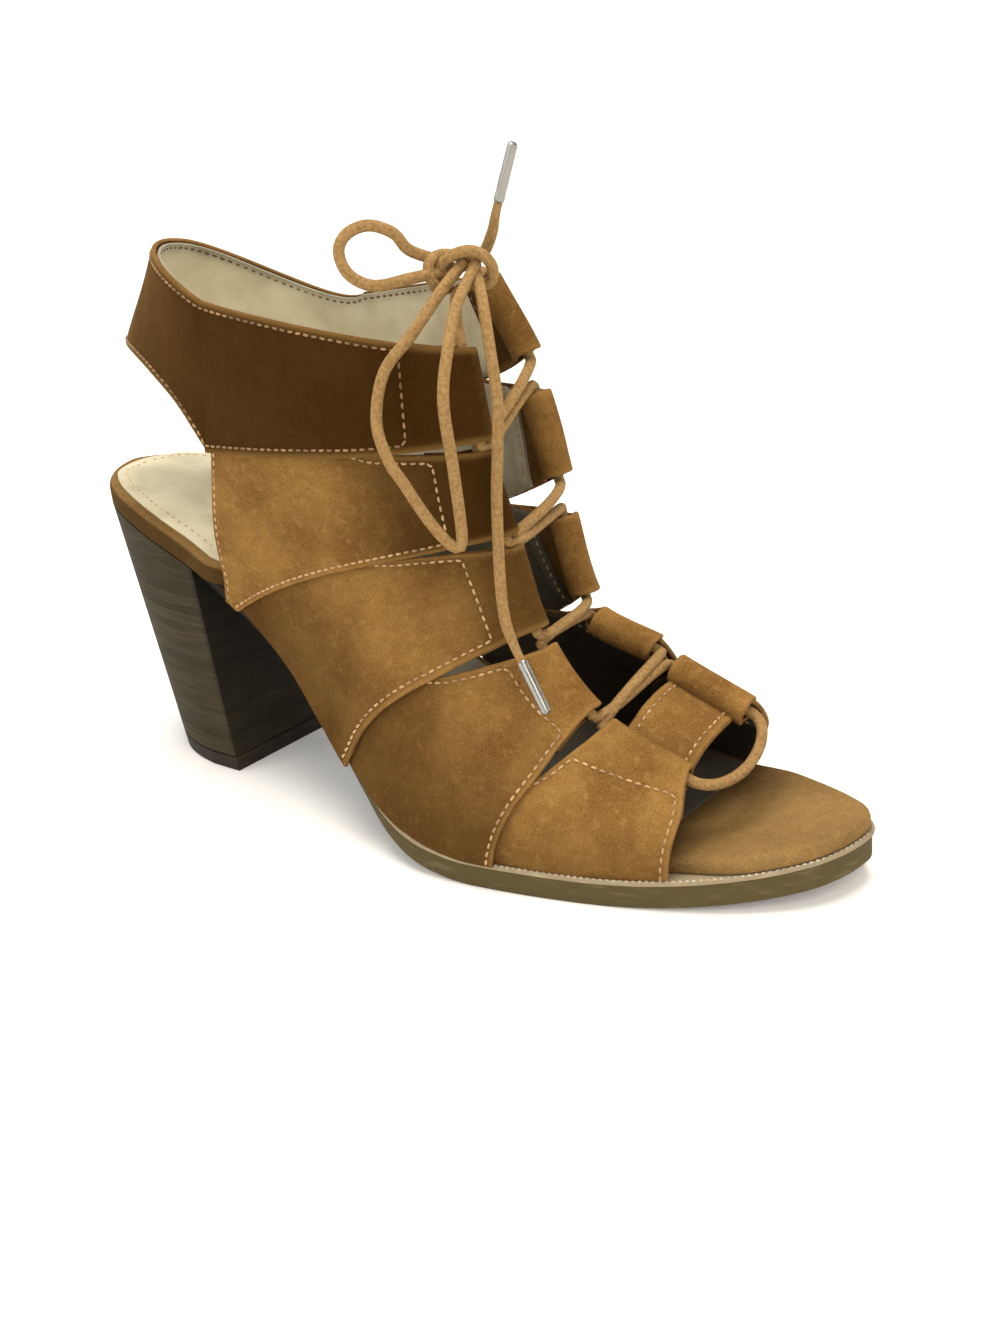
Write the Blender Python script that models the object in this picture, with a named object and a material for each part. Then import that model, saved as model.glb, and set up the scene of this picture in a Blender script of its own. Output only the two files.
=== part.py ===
"""Lace-up block-heel sandal, right foot: an open-toe, open-back upper of five overlapping strap pairs.

Each strap ends at the throat in a rolled loop, and one round lace runs through the ten loops to a bow.
The origin is on the floor under the tread point of the forefoot, +X runs to the toe, +Y to the inner
(medial) side and +Z up. Tables hold shares of the named sizes.
"""

import math

import bmesh
import bpy
from mathutils import Vector

MM = 0.001

# Driving sizes
LENGTH = 232 * MM  # heel back to toe tip, along the floor
BALL_WIDTH = 82 * MM  # outsole at its widest
HEEL_HEIGHT = 76 * MM  # floor to the underside of the footbed, at the back
TOE_SPRING = 6 * MM  # floor to the outsole's underside at the toe tip
TREAD_SHARE = 0.72  # where the forefoot's flat spot is centred, as a share of LENGTH
TOE_TIP_INWARD = 6 * MM  # the toe tip lies this far to the inner side
INSTEP = 54 * MM  # floor to the throat at the second strap pair
THROAT_OUTER = 10 * MM  # the loops' edges lie this far from the middle line
THROAT_INNER = 13 * MM

# Layers
OUTSOLE = 5.0 * MM
OUTSOLE_WAIST = 2.2 * MM
RAND = 1.8 * MM
FOOTBED = 4.0 * MM
FOOTBED_SEAT = 6.5 * MM
SOCK = 1.2 * MM
SOCK_MARGIN = 2.5 * MM
SOCK_START_SHARE = 0.012
SOCK_END_SHARE = 0.82
WALL = 2.2 * MM  # a strap: suede, reinforcement and lining
LAP_SINK = 0.5 * MM  # how far a strap sinks into the one that it overlaps
STRAP_INSET = 4.9 * MM  # outsole's edge to the straps' inner face
SEAT_INSET = 0.5 * MM  # heel's edge to the footbed's
TOE_INSET = 1.8 * MM
OUTSOLE_INSET = 0.6 * MM  # rand's edge to the outsole's
RIM = 0.4 * MM  # turned edge of outsole, rand and sock
FOOTBED_RIM = 1.4 * MM
BACK_ROUNDING = 1.5 * MM  # how far a side swells where the slingback leaves it
GAP = 0.3 * MM  # between touching pieces

# Bridge at the toe, under the lace: how deep it lies under the straps' faces, and its rise over the middle
BAR_DEPTH = 0.6 * MM
BAR_LOOP_CLEARANCE = 0.8 * MM
BAR_ARCH = 1.0 * MM

# Heel
BREAST_SHARE = 0.235
HEEL_BACK_SHARE = 0.008  # the heel's back under the footbed, and on the floor
HEEL_FOOT_BACK_SHARE = 0.067
HEEL_FOOT_BREAST_SHARE = 0.230
HEEL_INSET = 0.5 * MM
HEEL_FOOT_WIDTH = 47 * MM
TOP_LIFT = 4.5 * MM
SEAT_SHARE = 0.20  # the seat's round back, as a share of LENGTH

# Lace and the loops that it runs through
LACE = 3.2 * MM
LOOP_WALL = 1.3 * MM
LOOP_CLEARANCE = 0.45 * MM
LOOP = LACE / 2 + LOOP_CLEARANCE + LOOP_WALL
MOUTH_CLEARANCE = 1.3 * MM  # a loop's mouth to the lace piece before it
FRONT_ARC = 9 * MM  # how far the lace's front arc is drawn forward, and how far it droops
FRONT_DROOP = 1.5 * MM
CROSSING_DRAW = 4 * MM  # how far a crossing runs straight on from a loop's mouth
CROSSING_LIFT = 0.34 * LACE
AGLET_LENGTH = 13 * MM
AGLET = 2.9 * MM

# The outsole's side lines behind the toe's taper, as shares of half BALL_WIDTH
OUTLINE = (
    # along, outer, inner
    (0.00, 0.70, 0.69),
    (0.20, 0.70, 0.69),
    (0.30, 0.71, 0.65),
    (0.38, 0.74, 0.63),
    (0.44, 0.83, 0.66),
    (0.50, 0.94, 0.73),
    (0.55, 1.02, 0.83),
    (0.60, 1.05, 0.93),
    (0.66, 1.02, 1.00),
)
# side: where the taper starts, and its two powers
TOE_TAPER = {-1: (0.60, 1.40, 0.45), 1: (0.66, 1.40, 0.60)}

# Underside of the footbed, from the forefoot's level (0) to the heel's (1)
BED_LINE = (
    # along, rise
    (0.00, 1.000),
    (0.10, 0.950),
    (0.20, 0.845),
    (0.30, 0.675),
    (0.40, 0.425),
    (0.50, 0.185),
    (0.58, 0.045),
    (0.66, 0.000),
    (0.78, 0.000),
)

# The upper's lower edge by strap: strap 1 runs from u 0 to 1, strap 5 from 4 to 5. It follows the sole up to
# u 3.15, then climbs as strap 4's rear edge to the slingback (u 4) and the collar's side (u 5).
LOWER_EDGE = (
    # u, along LENGTH, lift / INSTEP, extra width / half BALL_WIDTH
    (0.00, 0.850, 0.00, 0.00),
    (1.00, 0.682, 0.00, 0.00),
    (2.00, 0.492, 0.00, 0.00),
    (3.00, 0.306, 0.00, 0.00),
    (3.15, 0.290, 0.00, 0.00),  # LIFTED
    (3.55, 0.297, 0.34, 0.07),
    (4.00, 0.322, 0.76, 0.11),
    (5.00, 0.336, 1.42, 0.09),
)
# The loops' edges at the throat: where each strap's end begins and stops
THROAT = {
    -1: (
        # u, along LENGTH, rise / INSTEP
        (0.00, 0.858, 0.50),
        (1.00, 0.749, 0.68),
        (2.00, 0.688, 1.00),
        (3.00, 0.659, 1.41),
        (4.00, 0.634, 1.81),
        (5.00, 0.626, 2.20),
    ),
    1: (
        (0.00, 0.862, 0.60),
        (1.00, 0.752, 0.79),
        (2.00, 0.668, 0.98),
        (3.00, 0.645, 1.48),
        (4.00, 0.611, 2.02),
        (5.00, 0.565, 2.42),
    ),
}
# How full the wall stands between its lower edge and the throat
FULLNESS = (
    # u, upright share, flat share, fall at the throat, bulge / half BALL_WIDTH, arch
    (0.00, 0.45, 0.42, 0.16, 0.06, 0.00),
    (1.00, 0.42, 0.45, 0.18, 0.06, 0.12),
    (2.00, 0.42, 0.45, 0.14, 0.10, 0.24),
    (3.00, 0.40, 0.50, 0.10, 0.14, 0.10),
    (4.00, 0.40, 0.60, 0.06, 0.08, 0.00),
    (5.00, 0.40, 0.60, 0.04, 0.06, 0.00),
)
# Slingback at the middle of the back, and how much of its rise is gained beside it, by u
BACK = (
    # u, along LENGTH, rise / INSTEP, outer gain, inner gain, tilt / INSTEP
    (4.00, 0.103, 2.17, 1.38, 1.20, 0.00),
    (5.00, 0.181, 2.63, 0.60, -0.30, 0.08),
)
COLLAR_DIP_INNER = 0.12  # the collar's inner side lies this share of INSTEP lower

# The knot's middle, as shares of LENGTH, BALL_WIDTH and INSTEP, and the bow's run to the side
KNOT = (0.590, -0.055, 2.53)
BOW_TURN = math.radians(38)
KNOT_TURNS = 1.35
KNOT_START = math.radians(90)
KNOT_REACH = 2.1 * LACE  # half its length along the bow, half its depth, and its climb in a turn
KNOT_DEPTH = 1.15 * LACE
KNOT_CLIMB = 1.25 * LACE
# Courses of the bow from the knot, in lace diameters
LOOP_SMALL = (
    # to the toe, inward, up
    (-1.9, -2.6, 1.2),
    (-2.4, -3.4, 2.4),
    (-3.5, -4.6, 3.1),
    (-4.6, -5.7, 2.7),
    (-4.9, -6.4, 1.6),
    (-4.2, -6.4, 0.1),
    (-2.9, -5.4, -0.8),
    (-1.3, -3.4, -0.6),
)
LOOP_LONG = (
    (0.6, -2.6, -1.6),
    (0.2, -5.6, -4.0),
    (-1.2, -7.3, -6.3),
    (-1.3, -8.5, -9.4),
    (0.0, -9.2, -11.8),
    (1.1, -9.1, -13.4),
    (2.6, -8.5, -16.2),
    (3.9, -7.9, -17.9),
    (4.5, -7.6, -17.4),
    (4.4, -7.6, -12.7),
    (3.8, -7.2, -8.0),
    (3.1, -5.2, -4.5),
    (2.4, -3.2, -2.4),
)
END_LONG = (
    (2.9, -1.1, -2.1),
    (4.6, -2.8, -5.4),
    (5.3, -3.4, -8.8),
    (5.4, -4.0, -12.1),
    (5.4, -4.6, -15.5),
    (5.6, -5.3, -21.0),
    (6.2, -5.9, -23.6),
    (7.0, -6.2, -25.2),
    (7.8, -6.4, -26.4),
)
END_SHORT = (
    (-2.9, 0.8, -0.5),
    (-1.6, 2.0, -0.6),
    (0.0, 2.8, 0.1),
    (1.2, 2.7, 1.5),
    (1.9, 2.5, 2.9),
    (2.3, 2.5, 3.8),
)

SIDES = {"outer": -1, "inner": 1}
STRAPS = 5
LAP = 0.15  # u by which a strap runs under the next one
TAB_GAP = 0.12  # u by which a tab stands in from the seam on each side
LOOP_START = 0.93  # v of the last sheet row before the loop
LIFTED = 3.15  # u at which the lower edge leaves the sole
BAR_FRONT = 0.20  # the toe bridge's edges, in strap 1's u
BAR_REAR = 0.80
STRAP_COLUMNS = 5  # steps across a strap, along it, round a loop and round the heel
STRAP_ROWS = 8
RING = 12
JOIN = 2
HEEL_STEPS = 12
HEEL_LEVELS = 4
COURSE_STEPS = 12

# Colour, roughness and metallic value of each material, and the nodes that it is on
MATERIALS = {
    "suede": ("#8F6A3A", 0.92, 0.0),
    "footbed_suede": ("#916F40", 0.9, 0.0),
    "sock_lining": ("#E4DCBC", 0.75, 0.0),
    "rand": ("#AB977A", 0.7, 0.0),
    "outsole": ("#5E4E33", 0.65, 0.0),
    "heel_stack": ("#4D4430", 0.55, 0.0),
    "top_lift": ("#2B2722", 0.6, 0.0),
    "lace": ("#A58459", 0.9, 0.0),
    "aglet": ("#C9C9C6", 0.25, 1.0),
}
NODE_MATERIAL = {
    "upper": "suede",
    "footbed": "footbed_suede",
    "sock": "sock_lining",
    "heel_block": "heel_stack",
    "heel_tip": "top_lift",
}


def along(share):
    """Row x of a share of the shoe's length."""
    return LENGTH * (share - TREAD_SHARE)


def share_at(x):
    """Share of the shoe's length at a row x."""
    return x / LENGTH + TREAD_SHARE


def smooth(rows, at, column):
    """Monotone cubic through one column of a table whose first column is the position."""
    xs = [row[0] for row in rows]
    ys = [row[column] for row in rows]
    if at <= xs[0]:
        return ys[0]
    if at >= xs[-1]:
        return ys[-1]
    steps = [b - a for a, b in zip(xs, xs[1:])]
    slopes = [(b - a) / h for a, b, h in zip(ys, ys[1:], steps)]
    tangents = [slopes[0]]
    for before, after in zip(slopes, slopes[1:]):
        tangents.append(0.0 if before * after <= 0 else 2 * before * after / (before + after))
    tangents.append(slopes[-1])
    k = max(i for i in range(len(steps)) if xs[i] <= at)
    h, t = steps[k], (at - xs[k]) / steps[k]
    return (
        ys[k] * (1 + 2 * t) * (1 - t) ** 2
        + tangents[k] * h * t * (1 - t) ** 2
        + ys[k + 1] * t * t * (3 - 2 * t)
        + tangents[k + 1] * h * t * t * (t - 1)
    )


def ease(at, start, stop):
    """0 before start, 1 after stop, smooth between."""
    t = min(max((at - start) / (stop - start), 0.0), 1.0)
    return t * t * (3 - 2 * t)


def edge_y(share, side):
    """Row y of the outsole's edge at a share of the length, side -1 outer or 1 inner."""
    half = BALL_WIDTH / 2
    column = 1 if side < 0 else 2
    start, inner_power, outer_power = TOE_TAPER[side]
    if share > start:
        tip = side * TOE_TIP_INWARD
        reach = half * smooth(OUTLINE, start, column) - tip
        t = min((share - start) / (1 - start), 1.0)
        return side * (tip + reach * (1 - t**inner_power) ** outer_power)
    width = half * smooth(OUTLINE, share, column)
    if share < SEAT_SHARE:
        width *= math.sqrt(max(1 - ((SEAT_SHARE - share) / SEAT_SHARE) ** 2, 0.0))
    return side * width


def bed_z(share):
    """Height of the rand's top, on which footbed and straps rest."""
    base = OUTSOLE + RAND
    if share > BED_LINE[-1][0]:
        t = (share - BED_LINE[-1][0]) / (1 - BED_LINE[-1][0])
        return base + TOE_SPRING * t**1.8
    return base + (HEEL_HEIGHT - base) * smooth(BED_LINE, share, 1)


def footbed_inset(share):
    """The footbed stands in beside the straps, and comes out to the edge behind and before them."""
    front = ease(share, BREAST_SHARE, BREAST_SHARE + 0.03)
    beside = front * (1 - ease(share, 0.855, 0.885))
    return SEAT_INSET + (TOE_INSET - SEAT_INSET) * front + (STRAP_INSET + 1.5 * GAP - TOE_INSET) * beside


def footbed_height(share):
    """The footbed's wrapped edge is deeper round the heel seat."""
    return FOOTBED + (FOOTBED_SEAT - FOOTBED) * (1 - ease(share, 0.2, 0.4))


def new_object(name, data):
    """Adds a mesh or curve to the shoe's collection."""
    thing = bpy.data.objects.new(name, data)
    bpy.data.collections["lace_up_heel"].objects.link(thing)
    return thing


def linear(colour):
    """Scene-linear colour from an sRGB one."""
    parts = [int(colour[k : k + 2], 16) / 255 for k in (1, 3, 5)]
    return [c / 12.92 if c <= 0.04045 else ((c + 0.055) / 1.055) ** 2.4 for c in parts] + [1.0]


def finish(thing):
    """Gives a node a Principled material of its own, in its part's colour."""
    slot = NODE_MATERIAL.get(thing.name, thing.name.split("_")[0])
    colour, roughness, metallic = MATERIALS[slot]
    material = bpy.data.materials.new(thing.name)
    material.use_nodes = True
    shader = material.node_tree.nodes["Principled BSDF"]
    shader.inputs["Base Color"].default_value = linear(colour)
    shader.inputs["Roughness"].default_value = roughness
    shader.inputs["Metallic"].default_value = metallic
    thing.data.materials.clear()
    thing.data.materials.append(material)


def mesh_from(name, verts, faces):
    """Mesh with its faces turned outward."""
    mesh = bpy.data.meshes.new(name)
    mesh.from_pydata([tuple(v) for v in verts], [], faces)
    bm = bmesh.new()
    bm.from_mesh(mesh)
    bmesh.ops.recalc_face_normals(bm, faces=bm.faces)
    bm.to_mesh(mesh)
    bm.free()
    return mesh


def sweep_cells(columns, cells):
    """Solid from equal sections: `cells` tile one section, and its outline is carried through `columns`."""
    count = len(columns[0])
    verts = [p for column in columns for p in column]
    edges = {}
    for cell in cells:
        for a, b in zip(cell, cell[1:] + cell[:1]):
            edges[(a, b)] = edges.get((a, b), 0) + 1
    outline = [(a, b) for a, b in edges if (b, a) not in edges]
    faces = []
    for k in range(len(columns) - 1):
        low, high = k * count, (k + 1) * count
        faces += [(low + a, low + b, high + b, high + a) for a, b in outline]
    top = (len(columns) - 1) * count
    faces += [tuple(reversed(cell)) for cell in cells]
    faces += [tuple(top + a for a in cell) for cell in cells]
    return verts, faces


def slab(name, shares, side_y, low_z, high_z, rim=RIM):
    """Layer of the sole: rows across it at each share, with its upper rim turned by `rim`."""
    columns = []
    for share in shares:
        x = along(share)
        left, right = side_y(share, -1), side_y(share, 1)
        low, high = low_z(share), high_z(share)
        turn = min(rim, (right - left) * 0.2)
        middle = (left + right) / 2
        columns.append(
            [
                Vector((x, left, low)),
                Vector((x, middle, low)),
                Vector((x, right, low)),
                Vector((x, right, high - turn)),
                Vector((x, right - turn, high)),
                Vector((x, middle, high)),
                Vector((x, left + turn, high)),
                Vector((x, left, high - turn)),
            ]
        )
    cells = [(0, 1, 5, 6, 7), (1, 2, 3, 4, 5)]
    return new_object(name, mesh_from(name, *sweep_cells(columns, cells)))


def spread(start, stop, count, round_start=True):
    """Shares from start to stop, closer together toward the round toe, and toward the start if it is round."""
    out = []
    for k in range(count + 1):
        t = k / count
        t = (1 - math.cos(math.pi * t)) / 2 if round_start else math.sin(math.pi / 2 * t)
        out.append(start + (stop - start) * t)
    return out


# The upper's form
def lower_edge(u, side):
    """Point of the upper's lower edge, on the straps' inner face."""
    share = smooth(LOWER_EDGE, u, 1)
    lift = INSTEP * smooth(LOWER_EDGE, u, 2)
    extra = BALL_WIDTH / 2 * smooth(LOWER_EDGE, u, 3)
    y = edge_y(share, side) - side * (STRAP_INSET - extra)
    if lift <= 0:
        return Vector((along(share), y, bed_z(share) + GAP))
    base = smooth(LOWER_EDGE, LIFTED, 1)
    if side > 0:
        lift -= INSTEP * COLLAR_DIP_INNER * max(u - 4, 0.0)
    return Vector((along(share), y, bed_z(base) + GAP + lift))


def throat(u, side):
    """Point of the straps' folded edge, on their inner face."""
    y = side * (THROAT_OUTER if side < 0 else THROAT_INNER)
    rows = THROAT[side]
    return Vector((along(smooth(rows, u, 1)), y, INSTEP * smooth(rows, u, 2)))


def bezier(a, b, c, d, t):
    """Point of a cubic curve from a to d."""
    s = 1 - t
    return a * s**3 + b * (3 * s * s * t) + c * (3 * s * t * t) + d * t**3


def wall_point(u, v, side):
    """Inner face of the upper: v 0 at the lower edge, 1 at the throat, and on to -1 at the middle of the back."""
    foot = lower_edge(u, side)
    if v >= 0:
        top = throat(u, side)
        rise = Vector((top.x - foot.x, 0, top.z - foot.z))
        width = abs(foot.y - top.y)
        upright, flat, fall, bulge, arch = (smooth(FULLNESS, u, k) for k in (1, 2, 3, 4, 5))
        out = Vector((0, side, 0))
        above = Vector((-rise.z, 0, rise.x)) * arch
        first = foot + rise * upright + out * (bulge * BALL_WIDTH / 2) + above
        last = top - rise * fall + out * (width * flat)
        return bezier(foot, first, last, top, v)
    back = Vector((along(smooth(BACK, u, 1)), 0, INSTEP * smooth(BACK, u, 2)))
    reach = foot.x - back.x
    gain = smooth(BACK, u, 3 if side < 0 else 4)
    first = foot + Vector((-0.28 * reach, side * BACK_ROUNDING, (back.z - foot.z) * gain))
    last = back + Vector((0, foot.y * 0.62, -side * INSTEP * smooth(BACK, u, 5)))
    return bezier(foot, first, last, back, -v)


def wall_normal(u, v, side):
    """Outward direction of the upper's face."""
    step = 0.01
    u_low, u_high = max(u - step, 0.0), min(u + step, float(STRAPS))
    v_low, v_high = (max(v - step, 0.0), min(v + step, 1.0)) if v >= 0 else (max(v - step, -1.0), v + step)
    du = wall_point(u_high, v, side) - wall_point(u_low, v, side)
    dv = wall_point(u, v_high, side) - wall_point(u, min(v_low, v_high - step), side)
    normal = du.cross(dv).normalized()
    guide = Vector((0, side, 0)) if v > -0.5 else Vector((-1, side * 0.4, 0.4))
    return normal if normal.dot(guide) > 0 else -normal


# Straps
def strap_front(strap, v):
    """u of a strap's front edge."""
    return strap + TAB_GAP * ease(v, 0.45, 0.95)


def strap_rear(strap, v):
    """u of a strap's rear edge: lapped low down, standing free as a tab near the throat."""
    if strap == STRAPS - 1:
        return strap + 1.0
    lap = LAP * (1 - ease(v, 0.30, 0.55))
    return strap + 1.0 + lap - TAB_GAP * ease(v, 0.35, 0.95)


def strap_lift(strap, u):
    """How far a strap's inner face stands off, so that its front edge lies on the strap before it."""
    if strap == 0:
        return 0.0
    return (WALL - LAP_SINK) * (1 - min(max(u - strap, 0.0), 1.0))


def strap_pair(strap, u, v, side):
    """Outer and inner face point of a strap."""
    point, normal = wall_point(u, v, side), wall_normal(u, v, side)
    lift = strap_lift(strap, u)
    outer, inner = point + normal * (lift + WALL), point + normal * lift
    if v == 0 and u <= LIFTED:
        for corner in (outer, inner):
            corner.z = bed_z(share_at(corner.x)) + GAP
    return outer, inner


def loop_frame(strap, t, side):
    """Middle of a strap's lace loop, t 0 at its front mouth and 1 at its rear one, with across and out."""
    front, rear = strap_front(strap, 1.0), strap_rear(strap, 1.0)
    u = front + (rear - front) * t
    run = (wall_point(rear, 1.0, side) - wall_point(front, 1.0, side)).normalized()
    out = wall_normal(u, 1.0, side)
    out = (out - run * out.dot(run)).normalized()
    across = run.cross(out).normalized()
    if across.y * side > 0:
        across = -across
    edge = wall_point(u, 1.0, side) + out * (WALL + strap_lift(strap, u))
    return edge - across * LOOP - out * LOOP, across, out, run


def loop_ring(centre, across, out, radius):
    """Points round a loop, from its top over the folded edge and back under the strap."""
    points = []
    for k in range(RING):
        angle = math.pi / 2 - 2 * math.pi * k / RING
        points.append(centre + across * (radius * math.cos(angle)) + out * (radius * math.sin(angle)))
    return points


def strap_section(pairs, loops):
    """One section of a strap as points and cells: the sheet, and a ring at the ends that carry a loop.

    The loop's ring starts at its top, which is the sheet's last outer point, and comes back to the sheet's
    last inner point JOIN steps before it is closed.
    """
    points, cells = [], []

    def add(point):
        points.append(point)
        return len(points) - 1

    outer = [add(pair[0]) for pair in pairs]
    inner = [add(pair[1]) for pair in pairs]
    for a in range(len(pairs) - 1):
        cells.append((outer[a], inner[a], inner[a + 1], outer[a + 1]))
    for at_start, (centre, across, out) in loops:
        last = 0 if at_start else len(pairs) - 1
        ring = [add(p) for p in loop_ring(centre, across, out, LOOP)]
        hole = [add(p) for p in loop_ring(centre, across, out, LOOP - LOOP_WALL)]
        joint = ring[RING - JOIN :] + ring[:1]
        link = (outer[last], inner[last], *joint)
        cells.append(link if not at_start else tuple(reversed(link)))
        for k in range(RING):
            m = (k + 1) % RING
            cell = (ring[k], ring[m], hole[m], hole[k])
            cells.append(cell if at_start else tuple(reversed(cell)))
    return points, cells


def strap_object(strap, side):
    """A strap from the sole to its loop."""
    columns = []
    for q in range(STRAP_COLUMNS + 1):
        t = q / STRAP_COLUMNS
        centre, across, out, _ = loop_frame(strap, t, side)
        pairs = []
        for k in range(STRAP_ROWS + 1):
            v = k / STRAP_ROWS * LOOP_START
            front, rear = strap_front(strap, v), strap_rear(strap, v)
            pairs.append(strap_pair(strap, front + (rear - front) * t, v, side))
        points, cells = strap_section(pairs, [(False, (centre, across, out))])
        columns.append(points)
    name = f"strap_{strap}_{side}"
    return new_object(name, mesh_from(name, *sweep_cells(columns, cells)))


def sling_object():
    """The last strap pair as one band round the heel, with a loop at both ends."""
    strap = STRAPS - 1
    columns = []
    for q in range(STRAP_COLUMNS + 1):
        t = q / STRAP_COLUMNS
        pairs, loops = [], []
        for side in SIDES.values():
            rows = []
            for k in range(-STRAP_ROWS, STRAP_ROWS + 1):
                v = k / STRAP_ROWS * (LOOP_START if k > 0 else 1.0)
                if side > 0 and k == -STRAP_ROWS:
                    continue
                front, rear = strap_front(strap, v), strap_rear(strap, v)
                rows.append(strap_pair(strap, front + (rear - front) * t, v, side))
            pairs += reversed(rows) if side < 0 else rows
            loops.append((side < 0, loop_frame(strap, t, side)[:3]))
        points, cells = strap_section(pairs, loops)
        columns.append(points)
    return new_object("sling", mesh_from("sling", *sweep_cells(columns, cells)))


def toe_bar():
    """Strip under the lace that joins the two front straps."""
    columns = []
    for q in range(3):
        u = BAR_FRONT + (BAR_REAR - BAR_FRONT) * q / 2
        half = []
        for side in SIDES.values():
            low = wall_point(u, 0.60, side) + wall_normal(u, 0.60, side) * (LAP_SINK - WALL / 2)
            mid = wall_point(u, 0.74, side) - wall_normal(u, 0.74, side) * (WALL / 2 + BAR_DEPTH)
            top = wall_point(u, 1.0, side) + wall_normal(u, 1.0, side) * (WALL / 2 - 2 * LOOP - BAR_LOOP_CLEARANCE)
            half.append([low, mid, top])
        path = half[0] + [(half[0][2] + half[1][2]) / 2 + Vector((0, 0, BAR_ARCH))] + half[1][::-1]
        ups, downs = [], []
        for k, point in enumerate(path):
            ahead = path[min(k + 1, len(path) - 1)] - path[max(k - 1, 0)]
            up = Vector((1, 0, 0)).cross(ahead).normalized()
            ups.append(point + up * WALL / 2)
            downs.append(point - up * WALL / 2)
        columns.append(ups + downs)
    count = len(columns[0]) // 2
    cells = [(k, k + 1, count + k + 1, count + k) for k in range(count - 1)]
    return new_object("toe_bar", mesh_from("toe_bar", *sweep_cells(columns, cells)))


def join(base, others, name):
    """Boolean union of solids into one node."""
    for other in others:
        change = base.modifiers.new("join", "BOOLEAN")
        change.operation, change.solver, change.object = "UNION", "EXACT", other
        graph = bpy.context.evaluated_depsgraph_get()
        mesh = bpy.data.meshes.new_from_object(base.evaluated_get(graph))
        base.modifiers.clear()
        base.data = mesh
        bpy.data.objects.remove(other)
    base.name = name
    base.data.name = name
    bm = bmesh.new()
    bm.from_mesh(base.data)
    bmesh.ops.remove_doubles(bm, verts=bm.verts, dist=0.02 * MM)
    bmesh.ops.dissolve_degenerate(bm, edges=bm.edges, dist=0.02 * MM)
    bm.to_mesh(base.data)
    bm.free()
    return base


def upper():
    """All straps joined where they lap, hollow and open at heel, toe, collar and throat."""
    pieces = [strap_object(strap, side) for side in SIDES.values() for strap in range(STRAPS - 1)]
    return join(sling_object(), pieces + [toe_bar()], "upper")


def clear_scene():
    """Empties the file and starts the shoe's collection."""
    for thing in list(bpy.data.objects):
        bpy.data.objects.remove(thing)
    bpy.context.scene.collection.children.link(bpy.data.collections.new("lace_up_heel"))


def footbed_shares():
    """Cross-sections of footbed and sock, closer where the footbed's edge steps in beside the straps."""
    steps = [BREAST_SHARE + k * 0.0075 for k in range(5)] + [0.855, 0.865, 0.875, 0.885]
    even = [s for s in spread(0.001, 0.999, 32) if all(abs(s - step) > 0.012 for step in steps)]
    return sorted(even + steps)


def sole_pieces():
    """Outsole, rand, footbed and sock lining as layers on one line."""
    full = footbed_shares()
    fore = spread(BREAST_SHARE + GAP / LENGTH, 0.999, 30, round_start=False)

    def under(share):
        thick = OUTSOLE_WAIST + (OUTSOLE - OUTSOLE_WAIST) * ease(share, 0.42, 0.60)
        return bed_z(share) - RAND - thick

    def inset(amount):
        return lambda share, side: edge_y(share, side) - side * amount(share)

    slab("outsole", fore, inset(lambda s: OUTSOLE_INSET), under, lambda s: bed_z(s) - RAND)
    slab("rand", fore, inset(lambda s: 0.0), lambda s: bed_z(s) - RAND + GAP, bed_z)
    slab(
        "footbed",
        full,
        inset(footbed_inset),
        lambda s: bed_z(s) + GAP,
        lambda s: bed_z(s) + footbed_height(s),
        FOOTBED_RIM,
    )


# Lace
def tube(name, points, radius=LACE / 2):
    """Round cord along a course, as a curve with filled caps."""
    curve = bpy.data.curves.new(name, "CURVE")
    curve.dimensions = "3D"
    curve.bevel_depth = radius
    curve.bevel_resolution = 2
    curve.use_fill_caps = True
    spline = curve.splines.new("POLY")
    spline.points.add(len(points) - 1)
    for slot, point in zip(spline.points, points):
        slot.co = (*point, 1.0)
    return new_object(name, curve)


def as_mesh(source):
    """The same cord as one closed mesh, which a union can take."""
    graph = bpy.context.evaluated_depsgraph_get()
    mesh = bpy.data.meshes.new_from_object(source.evaluated_get(graph))
    name = source.name
    bpy.data.objects.remove(source)
    bm = bmesh.new()
    bm.from_mesh(mesh)
    bmesh.ops.remove_doubles(bm, verts=bm.verts, dist=0.01 * MM)
    bmesh.ops.recalc_face_normals(bm, faces=bm.faces)
    bm.to_mesh(mesh)
    bm.free()
    return new_object(name, mesh)


def course(knots, step=2.5 * LACE):
    """Even points on a rounded line through the knots."""
    ends = [knots[0] * 2 - knots[1]] + list(knots) + [knots[-1] * 2 - knots[-2]]
    fine = []
    for a, b, c, d in zip(ends, ends[1:], ends[2:], ends[3:]):
        for k in range(COURSE_STEPS):
            t = k / COURSE_STEPS
            fine.append(
                (b * 2 + (c - a) * t + (a * 2 - b * 5 + c * 4 - d) * t**2 + (b * 3 - a - c * 3 + d) * t**3) / 2
            )
    fine.append(knots[-1])
    total = sum((b - a).length for a, b in zip(fine, fine[1:]))
    count = max(int(round(total / step)), 4)
    out, walked, goal = [fine[0]], 0.0, total / count
    for a, b in zip(fine, fine[1:]):
        piece = (b - a).length
        while walked + piece >= goal - 1e-9 and len(out) < count:
            out.append(a + (b - a) * ((goal - walked) / piece if piece else 0))
            goal += total / count
        walked += piece
    out.append(fine[-1])
    return out


def mouth(strap, rear, side, turned=False):
    """Where a lace piece ends before a loop's mouth, and its direction there.

    A turned piece comes in from the other side of the throat, through the gap between two loops.
    """
    centre, across, _, run = loop_frame(strap, 1.0 if rear else 0.0, side)
    away = run if rear else -run
    if turned:
        return centre + away * (LACE / 2 + MOUTH_CLEARANCE / 2), (across + away * 0.6).normalized()
    return centre + away * MOUTH_CLEARANCE, away


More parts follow.
